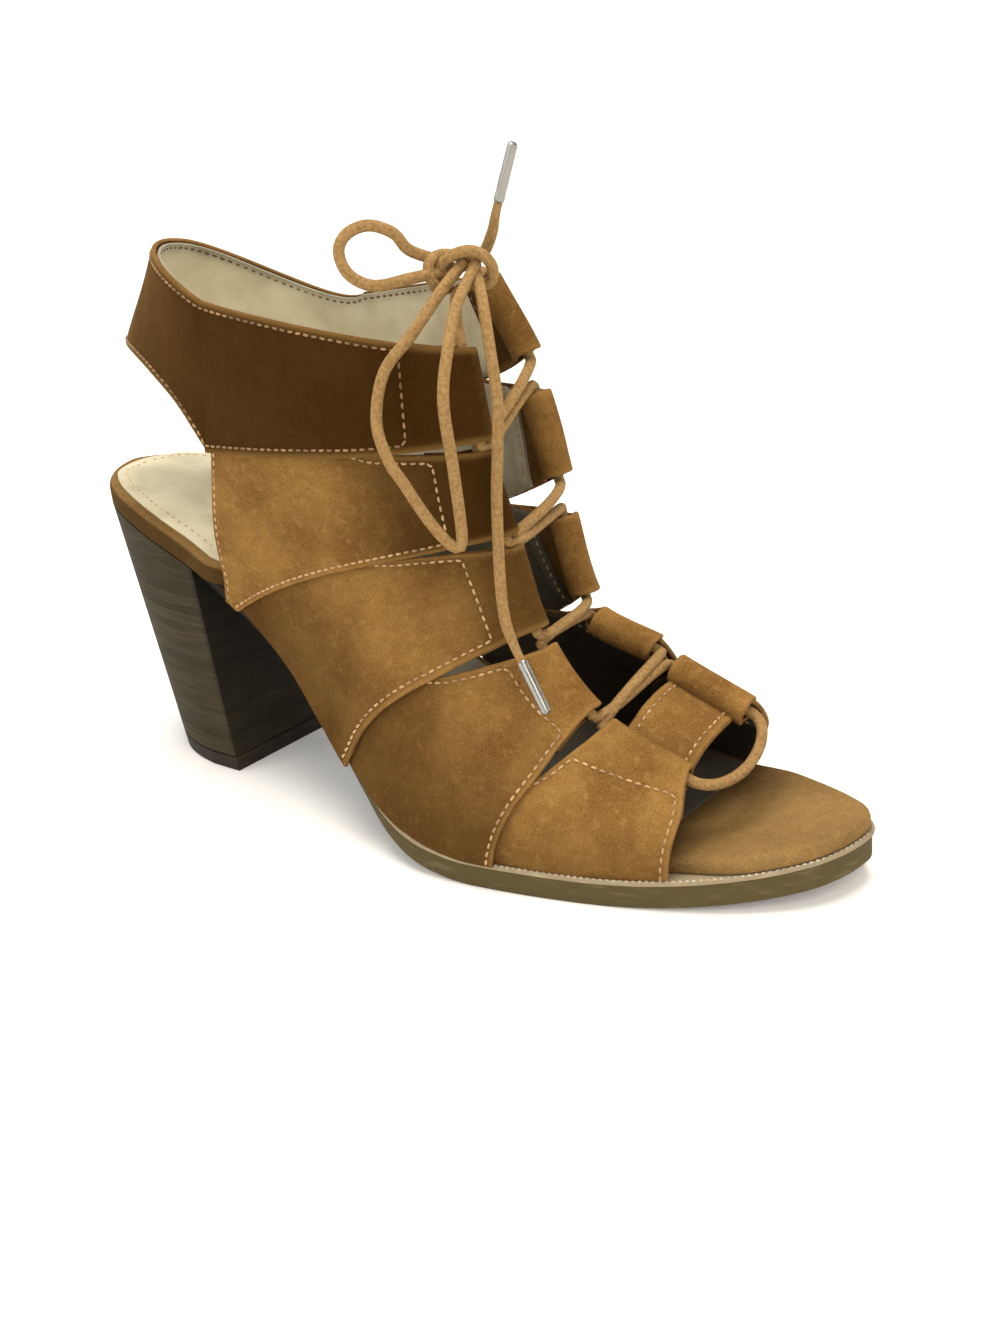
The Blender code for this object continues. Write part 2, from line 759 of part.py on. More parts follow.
def strand(start, stop, bend, rise=Vector((0, 0, 0))):
    """Lace between two mouths."""
    (a, leave), (b, arrive) = start, stop
    points = [bezier(a, a + leave * bend, b + arrive * bend, b, k / 8) for k in range(9)]
    return [p + rise * math.sin(math.pi * k / 8) ** 2 for k, p in enumerate(points)]


def lace_crossings():
    """The lace before the first loops, and each crossing between two pairs of loops."""
    droop = Vector((0, 0, -FRONT_DROOP))
    tube("lace_front", strand(mouth(0, False, -1), mouth(0, False, 1), FRONT_ARC, droop))
    for strap in range(STRAPS - 1):
        ahead = wall_normal(strap + 1.0, 1.0, -1) + wall_normal(strap + 1.0, 1.0, 1)
        lift = ahead.normalized() * CROSSING_LIFT
        over = strand(mouth(strap, True, -1, True), mouth(strap + 1, False, 1, True), CROSSING_DRAW, lift)
        under = strand(mouth(strap, True, 1, True), mouth(strap + 1, False, -1, True), CROSSING_DRAW, -lift)
        pieces = [as_mesh(tube("over", over)), as_mesh(tube("under", under))]
        join(pieces[0], pieces[1:], f"lace_crossing_{strap + 1}")


def knot_course():
    """The knot's turns, round its middle and climbing."""
    middle = knot_middle()
    aside = Vector((math.cos(BOW_TURN), math.sin(BOW_TURN), 0))
    depth = Vector((-aside.y, aside.x, 0))
    steps = int(KNOT_TURNS * 14)
    turns = []
    for k in range(steps + 1):
        angle = KNOT_START + 2 * math.pi * KNOT_TURNS * k / steps
        climb = Vector((0, 0, KNOT_CLIMB * KNOT_TURNS * (k / steps - 0.5)))
        turns.append(
            middle + aside * (KNOT_REACH * math.cos(angle)) + depth * (KNOT_DEPTH * math.sin(angle)) + climb
        )
    return turns


def knot_middle():
    """Row position of the knot."""
    return Vector((along(KNOT[0]), BALL_WIDTH * KNOT[1], INSTEP * KNOT[2]))


def from_knot(turns, rows):
    """Knots of a course that starts face to face with the nearest of the knot's turns."""
    knots = [knot_middle() + Vector(row) * LACE for row in rows]
    nearest = min(turns, key=lambda point: (point - knots[0]).length)
    away = (knots[0] - nearest).normalized()
    return [nearest + away * (LACE / 2 + GAP)] + knots


def lace_tie(turns):
    """The two ends of the lace from the last loops to the foot of the knot, as one piece."""
    low, inward = turns[0] - Vector((0, 0, LACE + GAP)), Vector((0, 1, 0))
    outer = strand(mouth(STRAPS - 1, True, -1), (low, -inward), 1.5 * LACE)
    inner = strand((low, inward), mouth(STRAPS - 1, True, 1), 1.5 * LACE)
    tube("lace_tie", outer + inner[1:])


def lace_bow():
    """Knot, loops, ends and their metal tips, and the lace up to them."""
    turns = knot_course()
    lace_tie(turns)
    tube("lace_knot", turns)
    courses = {
        "lace_loop_small": (LOOP_SMALL, 1.5),
        "lace_loop_long": (LOOP_LONG, 2.5),
        "lace_end_long": (END_LONG, 2.5),
        "lace_end_short": (END_SHORT, 1.5),
    }
    for name, (rows, step) in courses.items():
        points = course(from_knot(turns, rows), LACE * step)
        tube(name, points)
        if name.startswith("lace_end"):
            run = (points[-1] - points[-2]).normalized()
            start = points[-1] + run * GAP
            tube(name.replace("lace_end", "aglet"), [start, start + run * AGLET_LENGTH], AGLET / 2)


def d_shape(name, low_z, high_z, top_edge, foot_edge, levels=1):
    """Solid with a round back and a flat breast between two outlines, `edge(t, side)` giving x and y."""
    columns = []
    steps = HEEL_STEPS
    for level in range(levels + 1):
        t = level / levels
        ring = []
        for side in SIDES.values():
            rows = []
            for k in range(steps + 1):
                (x_top, y_top), (x_foot, y_foot) = top_edge(k / steps, side), foot_edge(k / steps, side)
                x = x_foot + (x_top - x_foot) * t
                y = y_foot + (y_top - y_foot) * t
                z = low_z + (high_z(share_at(x_top)) - low_z) * t
                rows.append(Vector((x, y, z)))
            ring += rows if side < 0 else rows[::-1]
        columns.append(ring)
    count = 2 * (steps + 1)
    cells = [(k, k + 1, count - 2 - k, count - 1 - k) for k in range(steps)]
    return new_object(name, mesh_from(name, *sweep_cells(columns, cells)))


def sock_lining():
    """Soft lining glued on the footbed from the heel to under the front straps."""

    def top(share):
        return bed_z(share) + footbed_height(share)

    slab(
        "sock",
        [s for s in footbed_shares() if SOCK_START_SHARE < s < SOCK_END_SHARE],
        lambda share, side: edge_y(share, side) - side * (footbed_inset(share) + SOCK_MARGIN),
        lambda s: top(s) + GAP,
        lambda s: top(s) + GAP + SOCK,
    )


def heel_top_edge(t, side):
    """Heel's outline under the footbed, t 0 at the back and 1 at the breast."""
    share = HEEL_BACK_SHARE + (BREAST_SHARE - HEEL_BACK_SHARE) * (1 - math.cos(math.pi / 2 * t))
    return along(share), edge_y(share, side) - side * HEEL_INSET * min(1.0, t * 4)


def heel_foot_edge(t, side):
    """Heel's outline on the floor."""
    back, breast = along(HEEL_FOOT_BACK_SHARE), along(HEEL_FOOT_BREAST_SHARE)
    angle = math.pi / 2 * t
    x = back + (breast - back) * (1 - math.cos(angle))
    width = HEEL_FOOT_WIDTH / 2 * min(1.0, math.sin(angle) ** 0.75 + 0.03)
    return x, side * width


def heel_pieces():
    """Stacked heel block and its top lift."""

    def at_height(z):
        t = z / HEEL_HEIGHT

        def edge(k, side):
            (x_top, y_top), (x_foot, y_foot) = heel_top_edge(k, side), heel_foot_edge(k, side)
            return x_foot + (x_top - x_foot) * t, y_foot + (y_top - y_foot) * t

        return edge

    foot = TOP_LIFT + GAP
    d_shape("heel_block", foot, bed_z, heel_top_edge, at_height(foot), HEEL_LEVELS)
    d_shape("heel_tip", 0.0, lambda share: TOP_LIFT, at_height(TOP_LIFT), heel_foot_edge)


def build():
    """Every node of the shoe."""
    clear_scene()
    upper()
    sole_pieces()
    sock_lining()
    heel_pieces()
    lace_crossings()
    lace_bow()
    for thing in bpy.data.collections["lace_up_heel"].objects:
        finish(thing)


if __name__ == "__main__":
    build()
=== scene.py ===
"""Looks of a lace up heel, right shoe: suede straps, lining, stitches, lace, layered sole and stacked heel.

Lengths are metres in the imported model's frame: the origin is on the floor under the forefoot's tread, +X runs
to the toe, +Y to the inner side of the foot and +Z up. Tables hold shares of the named sizes.
"""

import logging
import math
import random
from dataclasses import dataclass
from enum import Enum

import bmesh
import bpy
import numpy as np
from mathutils import Matrix, Vector, kdtree, noise

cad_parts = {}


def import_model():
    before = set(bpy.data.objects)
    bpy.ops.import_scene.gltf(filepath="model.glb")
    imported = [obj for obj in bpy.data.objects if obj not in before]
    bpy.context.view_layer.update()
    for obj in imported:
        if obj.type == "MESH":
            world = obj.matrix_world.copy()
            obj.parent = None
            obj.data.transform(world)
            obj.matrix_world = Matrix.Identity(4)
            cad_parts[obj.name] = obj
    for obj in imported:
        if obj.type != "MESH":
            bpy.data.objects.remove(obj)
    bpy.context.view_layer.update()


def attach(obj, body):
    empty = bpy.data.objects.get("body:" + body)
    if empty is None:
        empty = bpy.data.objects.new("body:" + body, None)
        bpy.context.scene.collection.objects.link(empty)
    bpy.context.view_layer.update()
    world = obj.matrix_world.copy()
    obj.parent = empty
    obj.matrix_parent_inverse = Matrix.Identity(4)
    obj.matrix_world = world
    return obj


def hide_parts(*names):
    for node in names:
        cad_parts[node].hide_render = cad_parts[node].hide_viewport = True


logging.basicConfig(level=logging.INFO, format="%(message)s")
LOG = logging.getLogger("lace_up_heel")

MM = 0.001
BODY = "root"
UP = np.array((0.0, 0.0, 1.0))
# the round ends of the sole's layers stop just inside the length
HEEL_END, TOE_END = 0.00005, 0.99995

Array = np.ndarray
Mesh, Piece = bpy.types.Mesh, bpy.types.Object
Tree, Node, Socket = bpy.types.NodeTree, bpy.types.Node, bpy.types.NodeSocket
Spot = tuple[float, float, float]
Rows = tuple[tuple[float, ...], ...]
Sockets = dict[str | int, object]
# points of a line and the surface's outward normals there
Line = tuple[Array, Array]


class Side(Enum):
    """Outer (lateral) or inner (medial) side of the foot; the value is the sign of Y."""

    OUTER = -1
    INNER = 1

    @property
    def other(self) -> "Side":
        """The opposite side."""
        return Side(-self.value)


class Slot(Enum):
    """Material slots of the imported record."""

    SUEDE = "suede"
    FOOTBED = "footbed_suede"
    SOCK = "sock_lining"
    RAND = "rand"
    OUTSOLE = "outsole"
    HEEL = "heel_stack"
    LIFT = "top_lift"
    LACE = "lace"
    AGLET = "aglet"


# The outsole's side lines behind the toe's taper, as shares of half the ball width
OUTLINE: Rows = (
    # along, outer, inner
    (0.00, 0.70, 0.69),
    (0.20, 0.70, 0.69),
    (0.30, 0.71, 0.65),
    (0.38, 0.74, 0.63),
    (0.44, 0.83, 0.66),
    (0.50, 0.94, 0.73),
    (0.55, 1.02, 0.83),
    (0.60, 1.05, 0.93),
    (0.66, 1.02, 1.00),
)
# side: where the taper starts, and its two powers
TOE_TAPER = {Side.OUTER: (0.60, 1.40, 0.45), Side.INNER: (0.66, 1.40, 0.60)}
# Underside of the footbed, from the forefoot's level (0) to the heel's (1)
BED_LINE: Rows = (
    # along, rise
    (0.00, 1.000),
    (0.10, 0.950),
    (0.20, 0.845),
    (0.30, 0.675),
    (0.40, 0.425),
    (0.50, 0.185),
    (0.58, 0.045),
    (0.66, 0.000),
    (0.78, 0.000),
)
# The upper's lower edge by strap: strap 0 runs from u 0 to 1, strap 4 from 4 to 5
LOWER_EDGE: Rows = (
    # u, along the length, lift / instep, extra width / half the ball width
    (0.00, 0.850, 0.00, 0.00),
    (1.00, 0.682, 0.00, 0.00),
    (2.00, 0.492, 0.00, 0.00),
    (3.00, 0.306, 0.00, 0.00),
    (3.15, 0.290, 0.00, 0.00),
    (3.55, 0.297, 0.34, 0.07),
    (4.00, 0.322, 0.76, 0.11),
    (5.00, 0.336, 1.42, 0.09),
)
# The loops' edges at the throat: where each strap's end begins and stops
THROAT: dict[Side, Rows] = {
    Side.OUTER: (
        # u, along the length, rise / instep
        (0.00, 0.858, 0.50),
        (1.00, 0.749, 0.68),
        (2.00, 0.688, 1.00),
        (3.00, 0.659, 1.41),
        (4.00, 0.634, 1.81),
        (5.00, 0.626, 2.20),
    ),
    Side.INNER: (
        (0.00, 0.862, 0.60),
        (1.00, 0.752, 0.79),
        (2.00, 0.668, 0.98),
        (3.00, 0.645, 1.48),
        (4.00, 0.611, 2.02),
        (5.00, 0.565, 2.42),
    ),
}
# Gap in front of each strap's tab, as a share of a strap
TAB_GAP = {Side.OUTER: (0.12, 0.12, 0.12, 0.08, 0.07), Side.INNER: (0.12, 0.15, 0.15, 0.18, 0.19)}
# How full the wall stands between its lower edge and the throat
FULLNESS: Rows = (
    # u, upright share, flat share, fall at the throat, bulge / half the ball width, arch
    (0.00, 0.45, 0.42, 0.16, 0.06, 0.00),
    (1.00, 0.42, 0.45, 0.18, 0.06, 0.12),
    (2.00, 0.42, 0.45, 0.14, 0.10, 0.24),
    (3.00, 0.40, 0.50, 0.10, 0.14, 0.10),
    (4.00, 0.40, 0.60, 0.06, 0.08, 0.00),
    (5.00, 0.40, 0.60, 0.04, 0.06, 0.00),
)
# Slingback at the middle of the back, and how much of its rise is gained beside it
BACK: Rows = (
    # u, along the length, rise / instep, outer gain, inner gain, tilt / instep
    (4.00, 0.103, 2.17, 1.38, 1.20, 0.00),
    (5.00, 0.181, 2.63, 0.60, -0.30, 0.08),
)


def smooth(rows: Rows, at: Array | float, column: int) -> Array:
    """Monotone cubic through one column of a table whose first column is the position.

    Args:
        rows: the table.
        at: positions to read.
        column: which column to read.

    Returns:
        The column's values at those positions.
    """
    table = np.array(rows)
    xs, ys = table[:, 0], table[:, column]
    steps = np.diff(xs)
    slopes = np.diff(ys) / steps
    total = slopes[:-1] + slopes[1:]
    same = slopes[:-1] * slopes[1:] > 0
    inner = np.where(same, 2 * slopes[:-1] * slopes[1:] / np.where(same, total, 1.0), 0.0)
    tangents = np.concatenate(([slopes[0]], inner, [slopes[-1]]))
    at = np.clip(at, xs[0], xs[-1])
    k = np.clip(np.searchsorted(xs, at, side="right") - 1, 0, len(steps) - 1)
    h = steps[k]
    t = (at - xs[k]) / h
    return (
        ys[k] * (1 + 2 * t) * (1 - t) ** 2
        + tangents[k] * h * t * (1 - t) ** 2
        + ys[k + 1] * t * t * (3 - 2 * t)
        + tangents[k + 1] * h * t * t * (t - 1)
    )


def ease(at: Array | float, start: float, stop: float) -> Array:
    """0 before start, 1 after stop, smooth between."""
    t = np.clip((np.asarray(at, float) - start) / (stop - start), 0.0, 1.0)
    return t * t * (3 - 2 * t)


def vec(x: object, y: object, z: object) -> Array:
    """Points from three arrays or numbers that broadcast to one shape."""
    return np.stack(np.broadcast_arrays(*(np.asarray(part, float) for part in (x, y, z))), -1)


def unit(a: Array) -> Array:
    """Vectors of length one."""
    return a / np.maximum(np.linalg.norm(a, axis=-1, keepdims=True), 1e-12)


def bezier(a: Array, b: Array, c: Array, d: Array, t: Array) -> Array:
    """Points of cubic curves from a to d.

    Args:
        a: start.
        b: first control point.
        c: second control point.
        d: end.
        t: 0 at the start to 1 at the end.

    Returns:
        Points with the shape of t.
    """
    t = np.asarray(t, float)[..., None]
    s = 1 - t
    return a * s**3 + b * (3 * s * s * t) + c * (3 * s * t * t) + d * t**3


@dataclass(frozen=True)
class Last:
    """The shoe's form: its sole lines, its bed and the wall that the straps lie on."""

    length: float = 232 * MM
    ball_width: float = 82 * MM
    heel_height: float = 76 * MM
    toe_spring: float = 6 * MM
    tread_share: float = 0.72
    toe_tip_inward: float = 6 * MM
    instep: float = 54 * MM
    throat_outer: float = 10 * MM
    throat_inner: float = 13 * MM
    outsole: float = 5.7 * MM
    outsole_waist: float = 2.4 * MM
    rand: float = 1.1 * MM
    footbed: float = 4.0 * MM
    footbed_seat: float = 5.6 * MM
    strap_inset: float = 4.9 * MM
    seat_inset: float = 0.5 * MM
    toe_inset: float = 1.8 * MM
    gap: float = 0.3 * MM
    # how far the front inner strap's foot is cut back, as a share of the length
    inner_cut: float = 0.05
    seat_share: float = 0.20
    breast_share: float = 0.235
    lifted: float = 3.15
    collar_dip_inner: float = 0.12
    back_rounding: float = 1.5 * MM
    # how far the slingback runs straight on from the side, and how broad it is at the back, as shares
    back_lead: float = 0.28
    back_breadth: float = 0.62

    def along(self, share: Array | float) -> Array | float:
        """Row x of a share of the shoe's length."""
        return self.length * (share - self.tread_share)

    def share_at(self, x: Array | float) -> Array | float:
        """Share of the shoe's length at a row x."""
        return x / self.length + self.tread_share

    def shares(self, mesh: Mesh) -> Array:
        """Share of the shoe's length at each vertex of a mesh."""
        return self.share_at(np.array([vertex.co.x for vertex in mesh.vertices]))

    def edge_y(self, share: Array | float, side: Side) -> Array:
        """Row y of the sole's edge.

        Args:
            share: shares of the length.
            side: outer or inner edge.

        Returns:
            The edge's row y at those shares.
        """
        share = np.asarray(share, float)
        half, sign = self.ball_width / 2, side.value
        column = 1 if side is Side.OUTER else 2
        start, inner_power, outer_power = TOE_TAPER[side]
        tip = sign * self.toe_tip_inward
        reach = half * smooth(OUTLINE, start, column) - tip
        t = np.clip((share - start) / (1 - start), 0.0, 1.0)
        toe = tip + reach * (1 - t**inner_power) ** outer_power
        width = half * smooth(OUTLINE, share, column)
        back = np.clip((self.seat_share - share) / self.seat_share, 0.0, 1.0)
        width = width * np.sqrt(1 - back**2)
        return sign * np.where(share > start, toe, width)

    def bed_z(self, share: Array | float) -> Array:
        """Height of the rand's top, on which footbed and straps rest.

        Args:
            share: shares of the length.

        Returns:
            Heights there.
        """
        base, level = self.outsole + self.rand, BED_LINE[-1][0]
        t = np.clip((np.asarray(share, float) - level) / (1 - level), 0.0, 1.0)
        return base + (self.heel_height - base) * smooth(BED_LINE, share, 1) + self.toe_spring * t**1.8

    def footbed_inset(self, share: Array | float, side: Side) -> Array:
        """How far the footbed's edge stands in from the sole's, most beside the straps' feet.

        Args:
            share: shares of the length.
            side: side of the foot.

        Returns:
            Insets there.
        """
        stop = LOWER_EDGE[0][1] - (self.inner_cut if side is Side.INNER else 0.0)
        front = ease(share, self.breast_share + 0.018, self.breast_share + 0.05)
        beside = front * (1 - ease(share, stop - 0.005, stop + 0.08))
        inner = self.strap_inset + 1.5 * self.gap - self.toe_inset
        return self.seat_inset + (self.toe_inset - self.seat_inset) * front + inner * beside

    def footbed_height(self, share: Array | float) -> Array:
        """The footbed's wrapped edge is deeper round the heel seat."""
        return self.footbed + (self.footbed_seat - self.footbed) * (1 - ease(share, 0.2, 0.4))

    def lower_edge(self, u: Array, side: Side) -> Array:
        """Points of the upper's lower edge, on the straps' inner face.

        Args:
            u: strap coordinate, 0 at the toe to 5 at the slingback's top.
            side: side of the foot.

        Returns:
            Points, one for each u.
        """
        share = smooth(LOWER_EDGE, u, 1)
        if side is Side.INNER:
            share = share - self.inner_cut * (1 - ease(u, 0.0, 1.0))
        lift = self.instep * smooth(LOWER_EDGE, u, 2)
        extra = self.ball_width / 2 * smooth(LOWER_EDGE, u, 3)
        y = self.edge_y(share, side) - side.value * (self.strap_inset - extra)
        base = np.where(lift > 0, smooth(LOWER_EDGE, self.lifted, 1), share)
        if side is Side.INNER:
            lift = lift - self.instep * self.collar_dip_inner * np.maximum(u - 4, 0.0)
        return vec(self.along(share), y, self.bed_z(base) + self.gap + lift)

    def wall(self, u: Array, v: Array, side: Side) -> Array:
        """Inner face of the upper.

        Args:
            u: strap coordinate, 0 at the toe to 5 at the slingback's top.
            v: 0 at the lower edge, 1 at the throat, and -1 at the middle of the back.
            side: side of the foot.

        Returns:
            Points with the shape of u and v.
        """
        u, v = np.broadcast_arrays(np.asarray(u, float), np.asarray(v, float))
        foot, sign = self.lower_edge(u, side), side.value
        rows = THROAT[side]
        y = sign * (self.throat_outer if side is Side.OUTER else self.throat_inner)
        top = vec(self.along(smooth(rows, u, 1)), y, self.instep * smooth(rows, u, 2))
        zero = np.zeros_like(u)
        rise = vec(top[..., 0] - foot[..., 0], zero, top[..., 2] - foot[..., 2])
        width = np.abs(foot[..., 1] - top[..., 1])[..., None]
        upright, flat, fall, bulge, arch = (smooth(FULLNESS, u, k)[..., None] for k in range(1, 6))
        out = np.array((0.0, sign, 0.0))
        above = vec(-rise[..., 2], zero, rise[..., 0]) * arch
        first = foot + rise * upright + out * (bulge * self.ball_width / 2) + above
        last = top - rise * fall + out * (width * flat)
        side_wall = bezier(foot, first, last, top, np.maximum(v, 0))
        back = vec(self.along(smooth(BACK, u, 1)), zero, self.instep * smooth(BACK, u, 2))
        reach = foot[..., 0] - back[..., 0]
        gain = smooth(BACK, u, 3 if side is Side.OUTER else 4)
        climb = (back[..., 2] - foot[..., 2]) * gain
        first = foot + vec(-self.back_lead * reach, sign * self.back_rounding, climb)
        last = back + vec(zero, foot[..., 1] * self.back_breadth, -sign * self.instep * smooth(BACK, u, 5))
        back_wall = bezier(foot, first, last, back, np.maximum(-v, 0))
        return np.where((v >= 0)[..., None], side_wall, back_wall)


def grid_normals(points: Array, guide: Array) -> Array:
    """Directions square to a grid of points.

    Args:
        points: grid of points, rows by columns by 3.
        guide: a direction, or one for each point, on the wanted side of the face.

    Returns:
        Unit normals in the grid's shape.
    """
    down, across = np.gradient(points, axis=0), np.gradient(points, axis=1)
    normal = unit(np.cross(down, across))
    flip = np.sign((normal * guide).sum(-1, keepdims=True))
    return normal * np.where(flip == 0, 1, flip)


# Materials
def to_linear(colour: str) -> tuple[float, float, float, float]:
    """Scene-linear RGBA of an sRGB hex colour."""
    parts = [int(colour[k : k + 2], 16) / 255 for k in (1, 3, 5)]
    return (*(c / 12.92 if c <= 0.04045 else ((c + 0.055) / 1.055) ** 2.4 for c in parts), 1.0)


def per_mm(size: float) -> float:
    """Texture scale, in features per metre, of a feature of that size in millimetres."""
    return 1 / (size * MM)


def feed(tree: Tree, node: Node, inputs: Sockets) -> None:
    """Sets or links a node's sockets.

    Args:
        tree: the material's node tree.
        node: the node.
        inputs: by socket name or number, a number, an sRGB hex colour or the output socket that feeds it.
    """
    for name, value in inputs.items():
        if isinstance(value, Socket):
            tree.links.new(value, node.inputs[name])
        else:
            node.inputs[name].default_value = to_linear(value) if isinstance(value, str) else value


def add(
    tree: Tree, kind: str, inputs: Sockets | None = None, out: str | int = 0, **settings: object
) -> Socket:
    """Adds one node.

    Args:
        tree: the material's node tree.
        kind: Blender's node type without its common prefix.
        inputs: as for feed.
        out: which output is given back.
        settings: the node's own settings.

    Returns:
        The chosen output socket.
    """
    node = tree.nodes.new("ShaderNode" + kind)
    for name, value in settings.items():
        setattr(node, name, value)
    feed(tree, node, inputs or {})
    return node.outputs[out]


def waves(tree: Tree, at: Socket, size: float, detail: float = 2.0) -> Socket:
    """Noise with features of that size in millimetres."""
    return add(tree, "TexNoise", {"Vector": at, "Scale": per_mm(size), "Detail": detail})


def soften(tree: Tree, value: Socket, low: float, high: float, top: float = 1.0) -> Socket:
    """0 where the value is under low, top where it is over high, smooth between."""
    limits = {"Value": value, "From Min": low, "From Max": high, "To Max": top}
    return add(tree, "MapRange", limits, interpolation_type="SMOOTHSTEP")


def blend(tree: Tree, share: Socket | float, first: Socket | str, second: Socket | str) -> Socket:
    """Colour that is the first where the share is 0 and the second where it is 1."""
    # sockets of a colour mix: 0 the factor, 6 and 7 the colours, 2 the result
    return add(tree, "Mix", {0: share, 6: first, 7: second}, out=2, data_type="RGBA")


def bump(tree: Tree, height: Socket, depth: float, under: Socket | None = None) -> Socket:
    """Normal that a height gives at that depth in millimetres, laid over another normal if there is one."""
    inputs = {"Height": height, "Distance": depth * MM}
    return add(tree, "Bump", inputs | ({"Normal": under} if under else {}))


@dataclass(frozen=True)
class Finish:
    """Common part of every finish: a name and a Principled shader."""

    name: str

    def material(self) -> bpy.types.Material:
        """The material, made once and found again by name.

        Returns:
            The material.
        """
        found = bpy.data.materials.get(self.name)
        if found:
            return found
        made = bpy.data.materials.new(self.name)
        made.use_nodes = True
        self.dress(made.node_tree, made.node_tree.nodes["Principled BSDF"])
        return made

    def dress(self, tree: Tree, shader: Node) -> None:
        """Sets the shader's sockets; each finish has its own."""
        raise NotImplementedError

    def painted(self, tree: Tree, name: str, tone: Socket, colour: str) -> Socket:
        """A tone with a colour mixed in as far as the mesh is painted with the named number."""
        share = add(tree, "Attribute", out="Fac", attribute_name=name)
        return blend(tree, share, tone, colour)


@dataclass(frozen=True)
class Suede(Finish):
    """Calf suede, split and buffed: its nap lies light and dark in soft clouds, without gloss."""

    lit: str = "#84602D"
    brushed: str = "#68461A"
    deep: str = "#2A1702"
    rubbed: str = "#93703E"
    # sizes in millimetres of the brushed clouds, the streaks in them, the raised tufts and the fibres, which
    # are really about 0.1 mm and drawn coarser to show
    cloud: float = 16.0
    streak: float = 3.2
    tuft: float = 2.2
    fibre: float = 0.42
    roughness: float = 0.95

    def dress(self, tree: Tree, shader: Node) -> None:
        """Nap clouds, streaks and fibres, darker where painted with shade, lighter where rubbed.

        Args:
            tree: the material's node tree.
            shader: its Principled shader.
        """
        at = add(tree, "TexCoord", out="Object")
        clouds = waves(tree, at, self.cloud, 3.0)
        clouds = soften(tree, clouds, 0.32, 0.66)
        drawn = add(tree, "Mapping", {"Vector": at, "Scale": (1.0, 0.6, 1.6)})
        streaks = waves(tree, drawn, self.streak, 4.0)
        streaks = soften(tree, streaks, 0.3, 0.7)
        fibres = waves(tree, at, self.fibre, 3.0)
        tone = blend(tree, clouds, self.brushed, self.lit)
        dimmed = blend(tree, 0.36, tone, self.brushed)
        tone = blend(tree, streaks, dimmed, tone)
        tufts = waves(tree, at, self.tuft, 5.0)
        tufts = soften(tree, tufts, 0.5, 0.75, 0.45)
        tone = blend(tree, tufts, tone, self.rubbed)
        specks = soften(tree, fibres, 0.25, 0.75)
        dark = blend(tree, 0.15, tone, "#000000")
        light = blend(tree, 0.05, tone, "#FFE3B0")
        tone = blend(tree, specks, dark, light)
        tone = self.painted(tree, "shade", tone, self.deep)
        tone = self.painted(tree, "rub", tone, self.rubbed)
        low = bump(tree, streaks, 0.10)
        fuzz = bump(tree, fibres, 0.16, low)
        feed(tree, shader, {"Base Color": tone, "Normal": fuzz, "Roughness": self.roughness})
        feed(tree, shader, {"Specular IOR Level": 0.04, "Sheen Weight": 0.05, "Sheen Roughness": 0.5})
        feed(tree, shader, {"Sheen Tint": "#C79A5C"})


@dataclass(frozen=True)
class LiningLeather(Finish):
    """Thin pigskin lining, drum-dyed cream and worn: small pores, soft wrinkles and a faint grey wear."""

    fresh: str = "#CBC1A0"
    wear_and_shade: str = "#B5A988"
    # colour of the painted shade inside the shoe
    shade_tone: str = "#1D160A"
    # millimetres between pores, and between wrinkles
    pore: float = 0.9
    wrinkle: float = 6.0
    roughness: float = 0.62

    def dress(self, tree: Tree, shader: Node) -> None:
        """Cream with worn clouds, pores and soft wrinkles, and painted shade where the piece is painted with
        shade.

        Args:
            tree: the material's node tree.
            shader: its Principled shader.
        """
        at = add(tree, "TexCoord", out="Object")
        clouds = waves(tree, at, 11.0, 5.0)
        clouds = soften(tree, clouds, 0.35, 0.75)
        tone = blend(tree, clouds, self.fresh, self.wear_and_shade)
        # painted shade, as far as the piece is painted with shade
        tone = self.painted(tree, "shade", tone, self.shade_tone)
        folds = waves(tree, at, self.wrinkle, 4.0)
        low = bump(tree, folds, 0.7)
        pores = add(tree, "TexVoronoi", {"Vector": at, "Scale": per_mm(self.pore)})
        grain = bump(tree, pores, 0.07, low)
        rough = add(tree, "MapRange", {"Value": clouds, "To Min": self.roughness, "To Max": 0.8})
        feed(tree, shader, {"Base Color": tone, "Normal": grain, "Roughness": rough})


